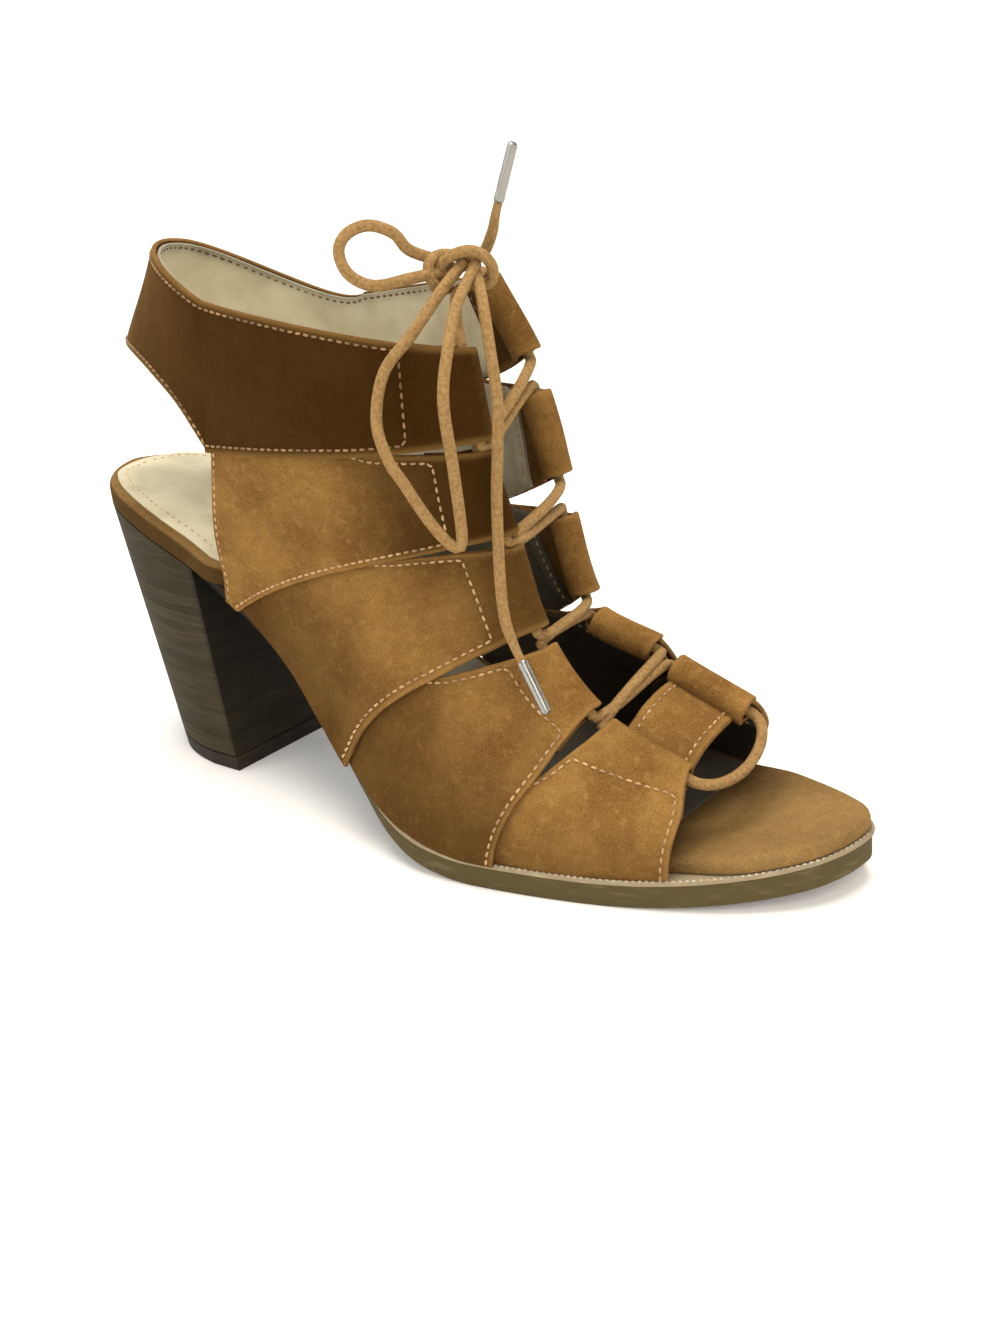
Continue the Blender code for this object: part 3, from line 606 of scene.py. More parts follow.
@dataclass(frozen=True)
class StackedLeather(Finish):
    """Waxed sheet of stacked leather: dark layers whose cut edges show as fine paler lines."""

    light: str = "#3C3421"
    dark: str = "#2F2817"
    line: str = "#544A30"
    shadow: str = "#0B0905"
    # millimetres from one layer to the next, and along and across the fibres in them
    layer: float = 2.7
    fibre: tuple[float, float] = (16.0, 0.6)
    roughness: float = 0.72

    def dress(self, tree: Tree, shader: Node) -> None:
        """Layers along Z, each with its own tone, and broken pale lines between them.

        Args:
            tree: the material's node tree.
            shader: its Principled shader.
        """
        at = add(tree, "TexCoord", out="Object")
        sway = waves(tree, at, 22.0, 3.0)
        height = add(tree, "SeparateXYZ", {"Vector": at}, out="Z")
        swayed = add(tree, "Math", {0: sway, 1: 1.6 * MM, 2: height}, operation="MULTIPLY_ADD")
        count = add(tree, "Math", {0: swayed, 1: per_mm(self.layer)}, operation="MULTIPLY")
        whole = add(tree, "Math", {0: count}, operation="FLOOR")
        part = add(tree, "Math", {0: count}, operation="FRACT")
        tint = add(tree, "TexWhiteNoise", {"W": whole}, noise_dimensions="1D")
        tone = blend(tree, tint, self.dark, self.light)
        long, thin = (per_mm(size) for size in self.fibre)
        drawn = add(tree, "Mapping", {"Vector": at, "Scale": (long, long, thin)})
        grain = add(tree, "TexNoise", {"Vector": drawn, "Scale": 1.0, "Detail": 4.0})
        fibres = soften(tree, grain, 0.35, 0.7)
        dimmed = blend(tree, 0.35, tone, self.shadow)
        tone = blend(tree, fibres, dimmed, tone)
        edge = add(tree, "Math", {0: part, 1: 0.5}, operation="SUBTRACT")
        edge = add(tree, "Math", {0: edge}, operation="ABSOLUTE")
        cut = soften(tree, edge, 0.40, 0.49)
        broken = soften(tree, grain, 0.40, 0.62, 0.8)
        line = add(tree, "Math", {0: cut, 1: broken}, operation="MULTIPLY")
        weight = add(tree, "MapRange", {"Value": tint, "To Min": 0.25})
        line = add(tree, "Math", {0: line, 1: weight}, operation="MULTIPLY")
        tone = blend(tree, line, tone, self.line)
        tone = self.painted(tree, "shade", tone, self.shadow)
        steps = bump(tree, cut, 0.15)
        rough = bump(tree, grain, 0.10, steps)
        feed(tree, shader, {"Base Color": tone, "Normal": rough, "Roughness": self.roughness})
        feed(tree, shader, {"Specular IOR Level": 0.12})


@dataclass(frozen=True)
class Rubber(Finish):
    """Moulded or sheet-cut rubber and leatherboard: even and dull, with a fine grit and light scuffs."""

    tone: str = "#5E4E33"
    scuffed: str = "#7A694B"
    # millimetres across a grain, which is really about 0.3 mm and drawn coarser to show
    grit: float = 0.7
    roughness: float = 0.7

    def dress(self, tree: Tree, shader: Node) -> None:
        """Plain tone with paler scuffs, drawn along the shoe, and grit.

        Args:
            tree: the material's node tree.
            shader: its Principled shader.
        """
        at = add(tree, "TexCoord", out="Object")
        drawn = add(tree, "Mapping", {"Vector": at, "Scale": (0.35, 0.35, 1.8)})
        scuff = waves(tree, drawn, 2.6, 5.0)
        scuff = soften(tree, scuff, 0.52, 0.72)
        grit = waves(tree, at, self.grit)
        tone = blend(tree, scuff, self.tone, self.scuffed)
        tone = self.painted(tree, "shade", tone, "#0F0B06")
        rough = bump(tree, grit, 0.08)
        feed(tree, shader, {"Base Color": tone, "Normal": rough, "Roughness": self.roughness})
        feed(tree, shader, {"Specular IOR Level": 0.12})


@dataclass(frozen=True)
class BraidedCord(Finish):
    """Round braided cotton lace with a short fuzz: matt, speckled pale where the yarns catch the light."""

    yarn: str = "#93754A"
    between: str = "#7B5F38"
    patch: str = "#80633C"
    speck: str = "#B39767"
    # millimetres across a yarn, and across a speck
    yarn_width: float = 0.8
    speck_width: float = 0.45
    roughness: float = 0.85

    def dress(self, tree: Tree, shader: Node) -> None:
        """Yarn-sized mottling, pale specks, and a soft darkening in long patches.

        Args:
            tree: the material's node tree.
            shader: its Principled shader.
        """
        at = add(tree, "TexCoord", out="Object")
        mottle = waves(tree, at, self.yarn_width)
        mottle = soften(tree, mottle, 0.3, 0.62)
        long = waves(tree, at, 9.0, 3.0)
        long = soften(tree, long, 0.35, 0.7, 0.35)
        fine = waves(tree, at, self.speck_width)
        specks = soften(tree, fine, 0.62, 0.74, 0.45)
        tone = blend(tree, mottle, self.between, self.yarn)
        tone = blend(tree, long, tone, self.patch)
        tone = blend(tree, specks, tone, self.speck)
        low = bump(tree, mottle, 0.10)
        fuzz = bump(tree, fine, 0.10, low)
        feed(tree, shader, {"Base Color": tone, "Normal": fuzz, "Roughness": self.roughness})
        feed(tree, shader, {"Specular IOR Level": 0.1, "Sheen Weight": 0.08, "Sheen Roughness": 0.5})
        feed(tree, shader, {"Sheen Tint": "#D9B989"})


@dataclass(frozen=True)
class Thread(Finish):
    """Bonded polyester sewing thread, lightly waxed: pale, with a slight gloss on each stitch."""

    tone: str = "#BC986C"
    shaded: str = "#92714A"
    roughness: float = 0.5

    def dress(self, tree: Tree, shader: Node) -> None:
        """Pale thread that varies from stitch to stitch.

        Args:
            tree: the material's node tree.
            shader: its Principled shader.
        """
        at = add(tree, "TexCoord", out="Object")
        change = waves(tree, at, 5.0)
        change = soften(tree, change, 0.35, 0.65)
        tone = blend(tree, change, self.shaded, self.tone)
        feed(tree, shader, {"Base Color": tone, "Roughness": self.roughness})


@dataclass(frozen=True)
class TinPlate(Finish):
    """Rolled tin-plated steel of a lace's tip: bright, with uneven polish and small dents."""

    tone: str = "#8F8E89"
    roughness: float = 0.3

    def dress(self, tree: Tree, shader: Node) -> None:
        """Metal with faint dents and uneven polish.

        Args:
            tree: the material's node tree.
            shader: its Principled shader.
        """
        at = add(tree, "TexCoord", out="Object")
        dull = waves(tree, at, 1.2, 3.0)
        rough = add(tree, "MapRange", {"Value": dull, "To Min": self.roughness - 0.08, "To Max": 0.42})
        dents = waves(tree, at, 2.0)
        bent = bump(tree, dents, 0.05)
        feed(tree, shader, {"Base Color": self.tone, "Metallic": 1.0})
        feed(tree, shader, {"Roughness": rough, "Normal": bent})


@dataclass(frozen=True)
class Backdrop(Finish):
    """Seamless matt paper: even and pale."""

    tone: str = "#F6F5F2"

    def dress(self, tree: Tree, shader: Node) -> None:
        """Plain paper with a painted glow: it gives off light where the piece says glow.

        Args:
            tree: the material's node tree.
            shader: its Principled shader.
        """
        glow = add(tree, "Attribute", out="Fac", attribute_name="glow")
        feed(tree, shader, {"Base Color": self.tone, "Roughness": 0.9, "Specular IOR Level": 0.1})
        feed(tree, shader, {"Emission Color": "#FFFFFF", "Emission Strength": glow})


SUEDE = Suede("calf_suede")
CUT_EDGE = Suede("suede_cut_edge", lit="#876234", brushed="#634320", rubbed="#94703F", cloud=4.0, streak=1.5)
BED_SUEDE = Suede("footbed_cover_suede", lit="#84663A", brushed="#6A5029", deep="#2A1B0A", cloud=24.0)
LINING = LiningLeather("pigskin_lining")
# the sock darkens to its painted shade under the straps
SOCK_LEATHER = LiningLeather("sock_lining_leather", fresh="#BDB598", wear_and_shade="#A79E82", shade_tone="#231B0F")
STACK = StackedLeather("stacked_leather_sheet")
WELT = Rubber("leatherboard_welt", tone="#8C7D64", scuffed="#A2947A", roughness=0.8)
SOLE_RUBBER = Rubber("crepe_sole_rubber", tone="#4E4329", scuffed="#5D5138")
LIFT_RUBBER = Rubber("top_lift_rubber", tone="#272119", scuffed="#352D20", roughness=0.6)
CORD = BraidedCord("cotton_lace")
THREAD = Thread("sewing_thread")
# darker thread on the slingback, for its painted shade and for soil
SHADED_SOILED_THREAD = Thread("shaded_soiled_sewing_thread", tone="#94714A", shaded="#5F462B")
DARK_THREAD = Thread("dark_sewing_thread", tone="#5B4028", shaded="#38260F")
WELT_THREAD = Thread("welt_thread", tone="#B3AA96", shaded="#8B8069")
TIN = TinPlate("tin_plate")
PAPER = Backdrop("backdrop_paper")


# Mesh helpers
def place(
    name: str, data: Mesh | bpy.types.Curve, finishes: list[Finish], slot: Slot | None, *nodes: str
) -> Piece:
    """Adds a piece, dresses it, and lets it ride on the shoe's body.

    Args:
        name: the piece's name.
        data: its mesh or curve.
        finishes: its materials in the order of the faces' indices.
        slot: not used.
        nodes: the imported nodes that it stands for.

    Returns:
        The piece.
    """
    piece = bpy.data.objects.new(name, data)
    bpy.context.scene.collection.objects.link(piece)
    for finish in finishes:
        data.materials.append(finish.material())
    if nodes:
        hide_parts(*nodes)
    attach(piece, BODY)
    LOG.info("%s: %s faces", name, len(data.polygons) if isinstance(data, Mesh) else "curve")
    return piece


def mesh_of(
    name: str, verts: Array | list, faces: list, indices: list[int] | None = None, angle: float = 40.0
) -> Mesh:
    """Smooth-shaded mesh with its faces turned outward.

    Args:
        name: the mesh's name.
        verts: points.
        faces: tuples of vertex numbers.
        indices: material index of each face.
        angle: edges sharper than this many degrees stay sharp.

    Returns:
        The mesh.
    """
    mesh = bpy.data.meshes.new(name)
    mesh.from_pydata(np.asarray(verts).tolist(), [], faces)
    if indices:
        mesh.polygons.foreach_set("material_index", indices)
    bm = bmesh.new()
    bm.from_mesh(mesh)
    bmesh.ops.recalc_face_normals(bm, faces=bm.faces)
    bm.to_mesh(mesh)
    bm.free()
    mesh.shade_smooth()
    mesh.set_sharp_from_angle(angle=math.radians(angle))
    return mesh


def ring_faces(rings: int, size: int, start: int = 0) -> list[tuple[int, ...]]:
    """Four-sided faces between closed rings of points.

    Args:
        rings: how many rings there are.
        size: points in each ring.
        start: number of the first point.

    Returns:
        The faces, ring by ring.
    """
    return [
        (low + k, low + (k + 1) % size, low + size + (k + 1) % size, low + size + k)
        for low in range(start, start + (rings - 1) * size, size)
        for k in range(size)
    ]


def lofted(name: str, rings: list[Array] | Array, angle: float = 40.0) -> Mesh:
    """Closed mesh through rings of points.

    Args:
        name: the mesh's name.
        rings: the rings, all with as many points.
        angle: edges sharper than this many degrees stay sharp.

    Returns:
        The mesh.
    """
    size = len(rings[0])
    faces = ring_faces(len(rings), size)
    faces += [tuple(range(start, start + size)) for start in (0, (len(rings) - 1) * size)]
    return mesh_of(name, np.concatenate(rings), faces, angle=angle)


def nearest(points: Array) -> kdtree.KDTree:
    """Search tree that finds the nearest of some points.

    Args:
        points: the points.

    Returns:
        The tree, whose numbers are the points' own.
    """
    tree = kdtree.KDTree(len(points))
    for k, point in enumerate(points):
        tree.insert(point, k)
    tree.balance()
    return tree


def paint(mesh: Mesh, name: str, values: Array) -> None:
    """Stores one number for each vertex, which a finish reads by that name."""
    layer = mesh.attributes.new(name, "FLOAT", "POINT")
    layer.data.foreach_set("value", np.asarray(values, np.float32).ravel())


@dataclass
class Ribbon:
    """A strip of leather between an exposed and a hidden face, with rounded long edges.

    Both faces are grids of points, stations along the strip by columns across it.
    """

    exposed: Array
    hidden: Array
    roundness: float = 0.35

    def mesh(self, name: str) -> Mesh:
        """Closed mesh; its long edges and ends have material index 1.

        Args:
            name: the mesh's name.

        Returns:
            The mesh, its vertices in stations of `ring` points: exposed face, edge, hidden face, edge.
        """
        (rows, cols), size = self.exposed.shape[:2], self.ring
        parts = (self.exposed, self.edge(-1, -2), self.hidden[:, ::-1], self.edge(0, 1)[:, ::-1])
        faces = ring_faces(rows, size)
        indices = [0 if k < cols - 1 or cols + 3 <= k < 2 * cols + 2 else 1 for k in range(size)] * (rows - 1)
        pairs = [(size - 1, size - 3)] + [(k, size - 4 - k) for k in range(cols)] + [(cols, cols + 2)]
        end = [(a, c, d, b) for (a, b), (c, d) in zip(pairs, pairs[1:])]
        end += [(cols, cols + 1, cols + 2), (size - 1, size - 2, size - 3)]
        for start in (0, (rows - 1) * size):
            faces += [tuple(start + k for k in face) for face in end]
            indices += [1] * len(end)
        return mesh_of(name, np.concatenate(parts, axis=1).reshape(-1, 3), faces, indices, 50.0)

    def edge(self, column: int, inner: int) -> Array:
        """Three rounding points between the faces along one long edge.

        Args:
            column: the edge's column.
            inner: the column beside it.

        Returns:
            The points of each station.
        """
        top, low = self.exposed[:, column], self.hidden[:, column]
        thick = np.linalg.norm(top - low, axis=-1, keepdims=True)
        out = unit(top - self.exposed[:, inner]) * thick * self.roundness
        shares = ((0.85, 0.7), (0.5, 1.0), (0.15, 0.7))
        return np.stack([top * up + low * (1 - up) + out * far for up, far in shares], 1)

    @property
    def ring(self) -> int:
        """Points in one station."""
        return 2 * self.exposed.shape[1] + 6


def resample(points: Array, pitch: float) -> Array:
    """Even points on a line.

    Args:
        points: the line's points.
        pitch: wanted distance between points.

    Returns:
        The new points, both ends kept.
    """
    points = np.asarray(points, float)
    lengths = np.concatenate(([0.0], np.cumsum(np.linalg.norm(np.diff(points, axis=0), axis=1))))
    count = max(int(round(lengths[-1] / pitch)), 1)
    at = np.linspace(0, lengths[-1], count + 1)
    return np.stack([np.interp(at, lengths, points[:, k]) for k in range(3)], -1)


def flow(knots: Array, steps: int = 12) -> Array:
    """Rounded line through points.

    Args:
        knots: points that it passes through.
        steps: points for each stretch.

    Returns:
        The line's points.
    """
    knots = np.asarray(knots, float)
    ends = np.concatenate(([2 * knots[0] - knots[1]], knots, [2 * knots[-1] - knots[-2]]))
    out = []
    for a, b, c, d in zip(ends, ends[1:], ends[2:], ends[3:]):
        for k in range(steps):
            t = k / steps
            square, cube = 2 * a - 5 * b + 4 * c - d, 3 * b - a - 3 * c + d
            out.append((2 * b + (c - a) * t + square * t**2 + cube * t**3) / 2)
    return np.array(out + [knots[-1]])


@dataclass(frozen=True)
class Seam:
    """Lock stitches: short rounded threads that dive into the leather at both ends."""

    pitch: float = 2.2 * MM
    stitch: float = 1.5 * MM
    thread: float = 0.64 * MM
    proud: float = -0.04 * MM
    # place along the stitch, width, and rise in half threads
    profile: Rows = (
        (-0.5, 0.35, -0.9),
        (-0.33, 0.85, -0.1),
        (0.0, 1.0, 0.25),
        (0.33, 0.85, -0.1),
        (0.5, 0.35, -0.9),
    )
    sides: int = 6
    skew: float = 0.10
    seed: int = 11

    def stitches(self, line: Array, outward: Array, seed: int) -> tuple[list, list]:
        """Stitches along a line on a surface.

        Args:
            line: points of the line.
            outward: the surface's normal at each point.
            seed: for each stitch's small differences.

        Returns:
            Vertices and faces of all its stitches.
        """
        draw, tree, even = random.Random(seed), nearest(line), resample(line, self.pitch)
        turns = [2 * math.pi * k / self.sides for k in range(self.sides)]
        verts, faces = [], []
        for a, b in zip(even, even[1:]):
            run, middle, base = unit(b - a), (a + b) / 2, len(verts)
            up = outward[tree.find(middle)[1]]
            up = unit(up - run * (up @ run))
            run = unit(run + np.cross(up, run) * draw.uniform(-self.skew, self.skew))
            aside = np.cross(run, up)
            for along, width, rise in self.profile:
                centre = middle + run * along * self.stitch + up * (self.proud + rise * self.thread * 0.5)
                radius = self.thread / 2 * width
                for turn in turns:
                    verts.append(centre + aside * radius * math.cos(turn) + up * radius * math.sin(turn))
            faces += ring_faces(len(self.profile), self.sides, base)
            faces += [tuple(range(k, k + self.sides)) for k in (base, len(verts) - self.sides)]
        return verts, faces

    def sew(self, name: str, lines: list[Line], finish: Finish, node: str) -> None:
        """Sews lines of stitches as one piece.

        Args:
            name: the piece's name.
            lines: points of each line and the surface's normals there.
            finish: the thread.
            node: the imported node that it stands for.
        """
        verts, faces = [], []
        for line, outward in lines:
            more, new = self.stitches(line, outward, self.seed + len(faces))
            faces += [tuple(len(verts) + k for k in face) for face in new]
            verts += more
        place(name, mesh_of(name, verts, faces, angle=80.0), [finish], None, node)


def troughs(points: Array, normals: Array, lines: list[Array], width: float, depth: float) -> None:
    """Presses points in along lines, in place.

    Args:
        points: grid of points, which is changed.
        normals: their outward directions.
        lines: points of the lines.
        width: half width of the trough.
        depth: how deep it is at its middle.
    """
    tree = nearest(np.concatenate([resample(line, 0.5 * MM) for line in lines]))
    flat, out = points.reshape(-1, 3), normals.reshape(-1, 3)
    near = np.array([tree.find(p)[2] for p in flat])
    flat -= out * (depth * np.exp(-((near / width) ** 2)))[:, None]


def ripple(points: Array, size: float, seed: float) -> Array:
    """Noise from -1 to 1 at each point of a grid.

    Args:
        points: grid of points.
        size: size of the waves.
        seed: offset of the noise.

    Returns:
        Values in the grid's shape.
    """
    flat = points.reshape(-1, 3) / size + seed
    return np.array([noise.noise(Vector(p)) for p in flat]).reshape(points.shape[:2])


# Upper
@dataclass(frozen=True)
class Crease:
    """A soft fold in a strap: where it runs, how wide and how deep it is (a ridge is negative)."""

    strap: int
    side: Side
    start: tuple[float, float]
    end: tuple[float, float]
    width: float
    depth: float


CREASES = (
    # strap, side, start and end as (across, up the strap), half width, depth
    Crease(1, Side.OUTER, (0.95, 0.62), (0.35, 0.50), 4.0 * MM, 0.9 * MM),
    Crease(1, Side.OUTER, (0.75, 0.42), (0.30, 0.33), 5.0 * MM, -0.6 * MM),
    Crease(2, Side.OUTER, (0.90, 0.70), (0.30, 0.60), 4.5 * MM, 0.7 * MM),
    Crease(2, Side.OUTER, (0.70, 0.30), (0.35, 0.42), 6.0 * MM, -0.5 * MM),
    Crease(3, Side.OUTER, (0.95, 0.45), (0.45, 0.62), 5.0 * MM, 0.9 * MM),
    Crease(3, Side.OUTER, (0.75, 0.72), (0.30, 0.80), 3.5 * MM, 0.5 * MM),
    Crease(0, Side.OUTER, (0.85, 0.40), (0.40, 0.55), 5.0 * MM, -0.5 * MM),
    Crease(0, Side.OUTER, (0.80, 0.72), (0.30, 0.68), 3.5 * MM, 0.4 * MM),
    Crease(1, Side.INNER, (0.90, 0.55), (0.25, 0.45), 4.5 * MM, 0.8 * MM),
    Crease(2, Side.INNER, (0.85, 0.60), (0.30, 0.48), 5.0 * MM, 0.7 * MM),
    Crease(3, Side.INNER, (0.90, 0.40), (0.40, 0.55), 5.0 * MM, 0.8 * MM),
)


# How dark each strap is painted, partly the nap's own tone and partly painted shade, at these heights from the
# back of the heel up to the fold
NAP_AND_SHADE_AT = (-1.0, -0.4, 0.0, 0.15, 0.4, 0.6, 0.8, 1.0)
NAP_AND_SHADE: Rows = (
    # back, behind the side, sole, low, middle, upper, tab, fold
    (0.00, 0.00, 0.45, 0.25, 0.00, 0.00, 0.05, 0.10),
    (0.00, 0.00, 0.65, 0.62, 0.38, 0.10, 0.00, 0.00),
    (0.00, 0.00, 0.68, 0.48, 0.00, 0.22, 0.62, 0.75),
    (0.00, 0.00, 0.00, 0.00, 0.05, 0.70, 0.92, 0.94),
    (0.32, 0.76, 0.89, 0.90, 0.92, 0.93, 0.92, 0.90),
)
# The same, nap tone and painted shade, on the inner side's loops by strap, and the painted shade on the flap
# behind each loop
INNER_ROLL_NAP_AND_SHADE = (0.0, 0.05, 0.2, 0.3, 0.35)
FLAP_SHADE, SLING_ROLL_NAP_AND_SHADE, SLING_FLAP_SHADE = 0.45, 0.8, 0.75
# How dark the linings of the first four strap pairs are
LINING_SHADE = (0.97, 0.97, 0.92, 0.50)


@dataclass(frozen=True)
class Upper:
    """Five lapped strap pairs: suede with a rolled loop at each end, lining inside, and their seams."""

    last: Last
    straps: int = 5
    wall: float = 2.2 * MM
    suede: float = 1.3 * MM
    lining: float = 0.85 * MM
    lap: float = 0.15
    lap_sink: float = 0.5 * MM
    loop_start: float = 0.93
    lace: float = 3.2 * MM
    loop_clearance: float = 0.45 * MM
    seam_inset: float = 1.3 * MM
    # from each strap's fold to the seam across its tab
    tab_lengths: tuple[float, ...] = (12 * MM, 13 * MM, 13.5 * MM, 15 * MM, 18 * MM)
    # from each strap's fold to the end of its flap, and to the lining's end, which is sewn over the flap
    flap: float = 17.5 * MM
    lining_end: float = 13.5 * MM
    # the flap's leather is skived a little
    flap_share: float = 0.95
    glue: float = 0.05 * MM
    inner_puff: float = 0.6 * MM
    # stations round a loop, along its flap, and along half the back
    roll_steps: int = 13
    flap_steps: int = 12
    back_steps: int = 80
    seam: Seam = Seam()
    # half width and depth of the trough that a seam presses into the suede
    trough: tuple[float, float] = (0.7 * MM, 0.26 * MM)
    creases: tuple[Crease, ...] = CREASES
    # how rubbed the suede is beside its edges, and how far in; how dark the slingback's lining is there
    rub: float = 0.35
    rub_width: float = 0.8 * MM
    edge_shade: float = 0.6
    # how far a strap's foot is drawn out over the welt
    flare: float = 0.9 * MM
    wave: float = 17 * MM
    wave_depth: float = 0.35 * MM

    @property
    def sling(self) -> int:
        """Number of the last strap pair, the slingback."""
        return self.straps - 1

    @property
    def loop(self) -> float:
        """Outer radius of a strap's lace loop."""
        return self.lace / 2 + self.loop_clearance + self.suede

    def front(self, strap: int, v: Array, side: Side) -> Array:
        """u of a strap's front edge."""
        return strap + TAB_GAP[side][strap] * ease(v, 0.45, 0.95)

    def rear(self, strap: int, v: Array, side: Side) -> Array:
        """u of a strap's rear edge: lapped low down, standing free as a tab near the throat.

        Args:
            strap: strap number from the toe.
            v: heights up the strap.
            side: side of the foot.

        Returns:
            u at those heights.
        """
        if strap == self.sling:
            return strap + np.ones_like(np.asarray(v, float))
        lap = self.lap * (1 - ease(v, 0.30, 0.55))
        return strap + 1 + lap - TAB_GAP[side][strap + 1] * ease(v, 0.35, 0.95)

    def across(self, strap: int, side: Side, v: Array, t: Array | float) -> Array:
        """u at shares t of the way from a strap's front edge to its rear one."""
        front = self.front(strap, v, side)
        return front + (self.rear(strap, v, side) - front) * t

    def lift(self, strap: int, u: Array) -> Array:
        """How far a strap's inner face stands off, so that its front edge lies on the strap before it.

        Args:
            strap: strap number from the toe.
            u: strap coordinate.

        Returns:
            The distances.
        """
        if strap == 0:
            return np.zeros_like(u)
        return (self.wall - self.lap_sink) * (1 - np.clip(u - strap, 0.0, 1.0))

    def normal(self, u: Array, v: Array, side: Side) -> Array:
        """Outward directions of the upper's face.

        Args:
            u: strap coordinate.
            v: height coordinate.
            side: side of the foot.

        Returns:
            Unit vectors.
        """
        u, v = np.broadcast_arrays(np.asarray(u, float), np.asarray(v, float))
        step, wall = 0.01, self.last.wall
        du = wall(np.minimum(u + step, self.straps), v, side) - wall(np.maximum(u - step, 0), v, side)
        low = np.where(v >= 0, np.clip(v - step, 0, 1 - step), np.clip(v - step, -1, 0))
        high = np.where(v >= 0, np.clip(v + step, 0, 1), v + step)
        dv = wall(u, high, side) - wall(u, low, side)
        normal = unit(np.cross(du, dv))
        sign = side.value
        guide = np.where((v > -0.5)[..., None], np.array((0.0, sign, 0.0)), np.array((-1.0, sign * 0.4, 0.4)))
        return normal * np.where((normal * guide).sum(-1, keepdims=True) > 0, 1, -1)

    def loop_frame(self, strap: int, t: Array, side: Side) -> tuple[Array, ...]:
        """Middle line of a strap's lace loop.

        Args:
            strap: strap number from the toe.
            t: 0 at its front mouth to 1 at its rear one.
            side: side of the foot.

        Returns:
            The line's points, the directions across and out at each, and its run.
        """
        one = np.ones(1)
        front, rear = self.front(strap, one, side), self.rear(strap, one, side)
        u = self.across(strap, side, one, t)
        ends = self.last.wall(rear, one, side) - self.last.wall(front, one, side)
        run = unit(ends)[0]
        out = self.normal(u, np.ones_like(u), side)
        out = unit(out - run * (out @ run)[..., None])
        across = unit(np.cross(run, out))
        across = across * np.where(across[..., 1:2] * side.value > 0, -1, 1)
        edge = self.last.wall(u, np.ones_like(u), side) + out * (self.wall + self.lift(strap, u))[..., None]
        return edge - (across + out) * self.loop, across, out, run

    @property
    def flap_thickness(self) -> float:
        """Thickness of the flap's leather."""
        return self.suede * self.flap_share

    def fold_scale(self, strap: int, side: Side) -> tuple[Array, Array]:
        """Heights v from a strap's fold down, and how far each is from the fold along its middle.

        Args:
            strap: strap number from the toe.
            side: side of the foot.

        Returns:
            The heights and the distances.
        """
        v = np.linspace(1.0, 0.0, 90)
        points = self.last.wall(self.across(strap, side, v, 0.5), v, side)
        return v, np.concatenate(([0.0], np.cumsum(np.linalg.norm(np.diff(points, axis=0), axis=1))))

    def from_fold(self, strap: int, side: Side, distance: Array | float) -> Array:
        """v at distances from a strap's fold, measured at its middle."""
        v, lengths = self.fold_scale(strap, side)
        return np.interp(distance, lengths, v)

    def sheet(self, strap: int, side: Side, v: Array, t: Array) -> tuple[Array, ...]:
        """A strap's inner face as a grid.

        Args:
            strap: strap number from the toe.
            side: side of the foot.
            v: heights of the stations.
            t: columns from the front edge, 0, to the rear edge, 1.

        Returns:
            Points, outward normals and lift, each by station and column.
        """
        v, t = np.meshgrid(v, t, indexing="ij")
        points, normals, lift = self.spots(strap, side, v, t)
        # the lower edge is cut level with the sole
        low = (v == 0) & (self.across(strap, side, v, t) <= self.last.lifted)
        return points, np.where(low[..., None], unit(normals * (1 - UP)), normals), lift

    def relief(self, strap: int, side: Side, points: Array) -> Array:
        """How far creases and slight waves press a strap's outer face in.

        Args:
            strap: strap number from the toe.
            side: side of the foot.
            points: points of the outer face.

        Returns:
            Depths at the points.
        """
        shape, flat = points.shape[:-1], points.reshape(-1, 3)
        depth = np.array([noise.noise(Vector(p)) for p in flat / self.wave]) * self.wave_depth
        for crease in self.creases:
            if crease.strap == strap and crease.side is side:
                t = np.linspace(crease.start[0], crease.end[0], 24)
                v = np.linspace(crease.start[1], crease.end[1], 24)
                line, normals, lift = self.spots(strap, side, v, t)
                line = line + normals * (lift + self.wall)
                gaps = np.linalg.norm(flat[:, None] - line[None], axis=-1)
                depth += crease.depth * np.exp(-((gaps.min(1) / crease.width) ** 2))
        above = flat[:, 2] - self.last.bed_z(self.last.share_at(flat[:, 0]))
        depth -= self.flare * (1 - ease(above, 0.0, 7 * MM))
        return depth.reshape(shape)[..., None]

    def spots(self, strap: int, side: Side, v: Array, t: Array) -> tuple[Array, ...]:
        """Inner face of a strap at single spots: points, outward normals and lift."""
        u = self.across(strap, side, v, t)
        return self.last.wall(u, v, side), self.normal(u, v, side), self.lift(strap, u)[..., None]

    def width(self, strap: int, side: Side, v: Array) -> Array:
        """A strap's width at heights v."""
        ends = [self.last.wall(edge(strap, v, side), v, side) for edge in (self.front, self.rear)]
        return np.linalg.norm(ends[1] - ends[0], axis=-1)

    def outer_line(self, strap: int, side: Side, v: Array, t: Array) -> Line:
        """A line on a strap's outer face.

        Args:
            strap: strap number from the toe.
            side: side of the foot.
            v: heights up the strap.
            t: shares of the way from the front edge to the rear one.

        Returns:
            Its points and the outward normals.
        """
        points, normals, lift = self.spots(strap, side, v, t)
        points = points + normals * (lift + self.wall)
        return points - normals * self.relief(strap, side, points), normals

    def seam_path(self, strap: int, side: Side) -> tuple[Array, Array]:
        """A strap's seam: up its front edge, across the tab's base and down its rear edge.

        Args:
            strap: strap number from the toe.
            side: side of the foot.

        Returns:
            Heights, and shares of the way across.
        """
        base = float(self.from_fold(strap, side, self.tab_lengths[strap]))
        up = np.linspace(0.012 if strap < self.sling else 0.0, base, 60)
        last = np.linspace(base, 0.40 if strap < self.sling else 0.0, 40)
        inset = self.seam_inset / self.width(strap, side, up)
        drop = self.seam_inset / self.width(strap, side, last)
        cross = np.linspace(inset[-1], 1 - drop[0], 24)
        v = np.concatenate((up, np.full(22, base), last))
        return v, np.concatenate((inset, cross[1:-1], 1 - drop))

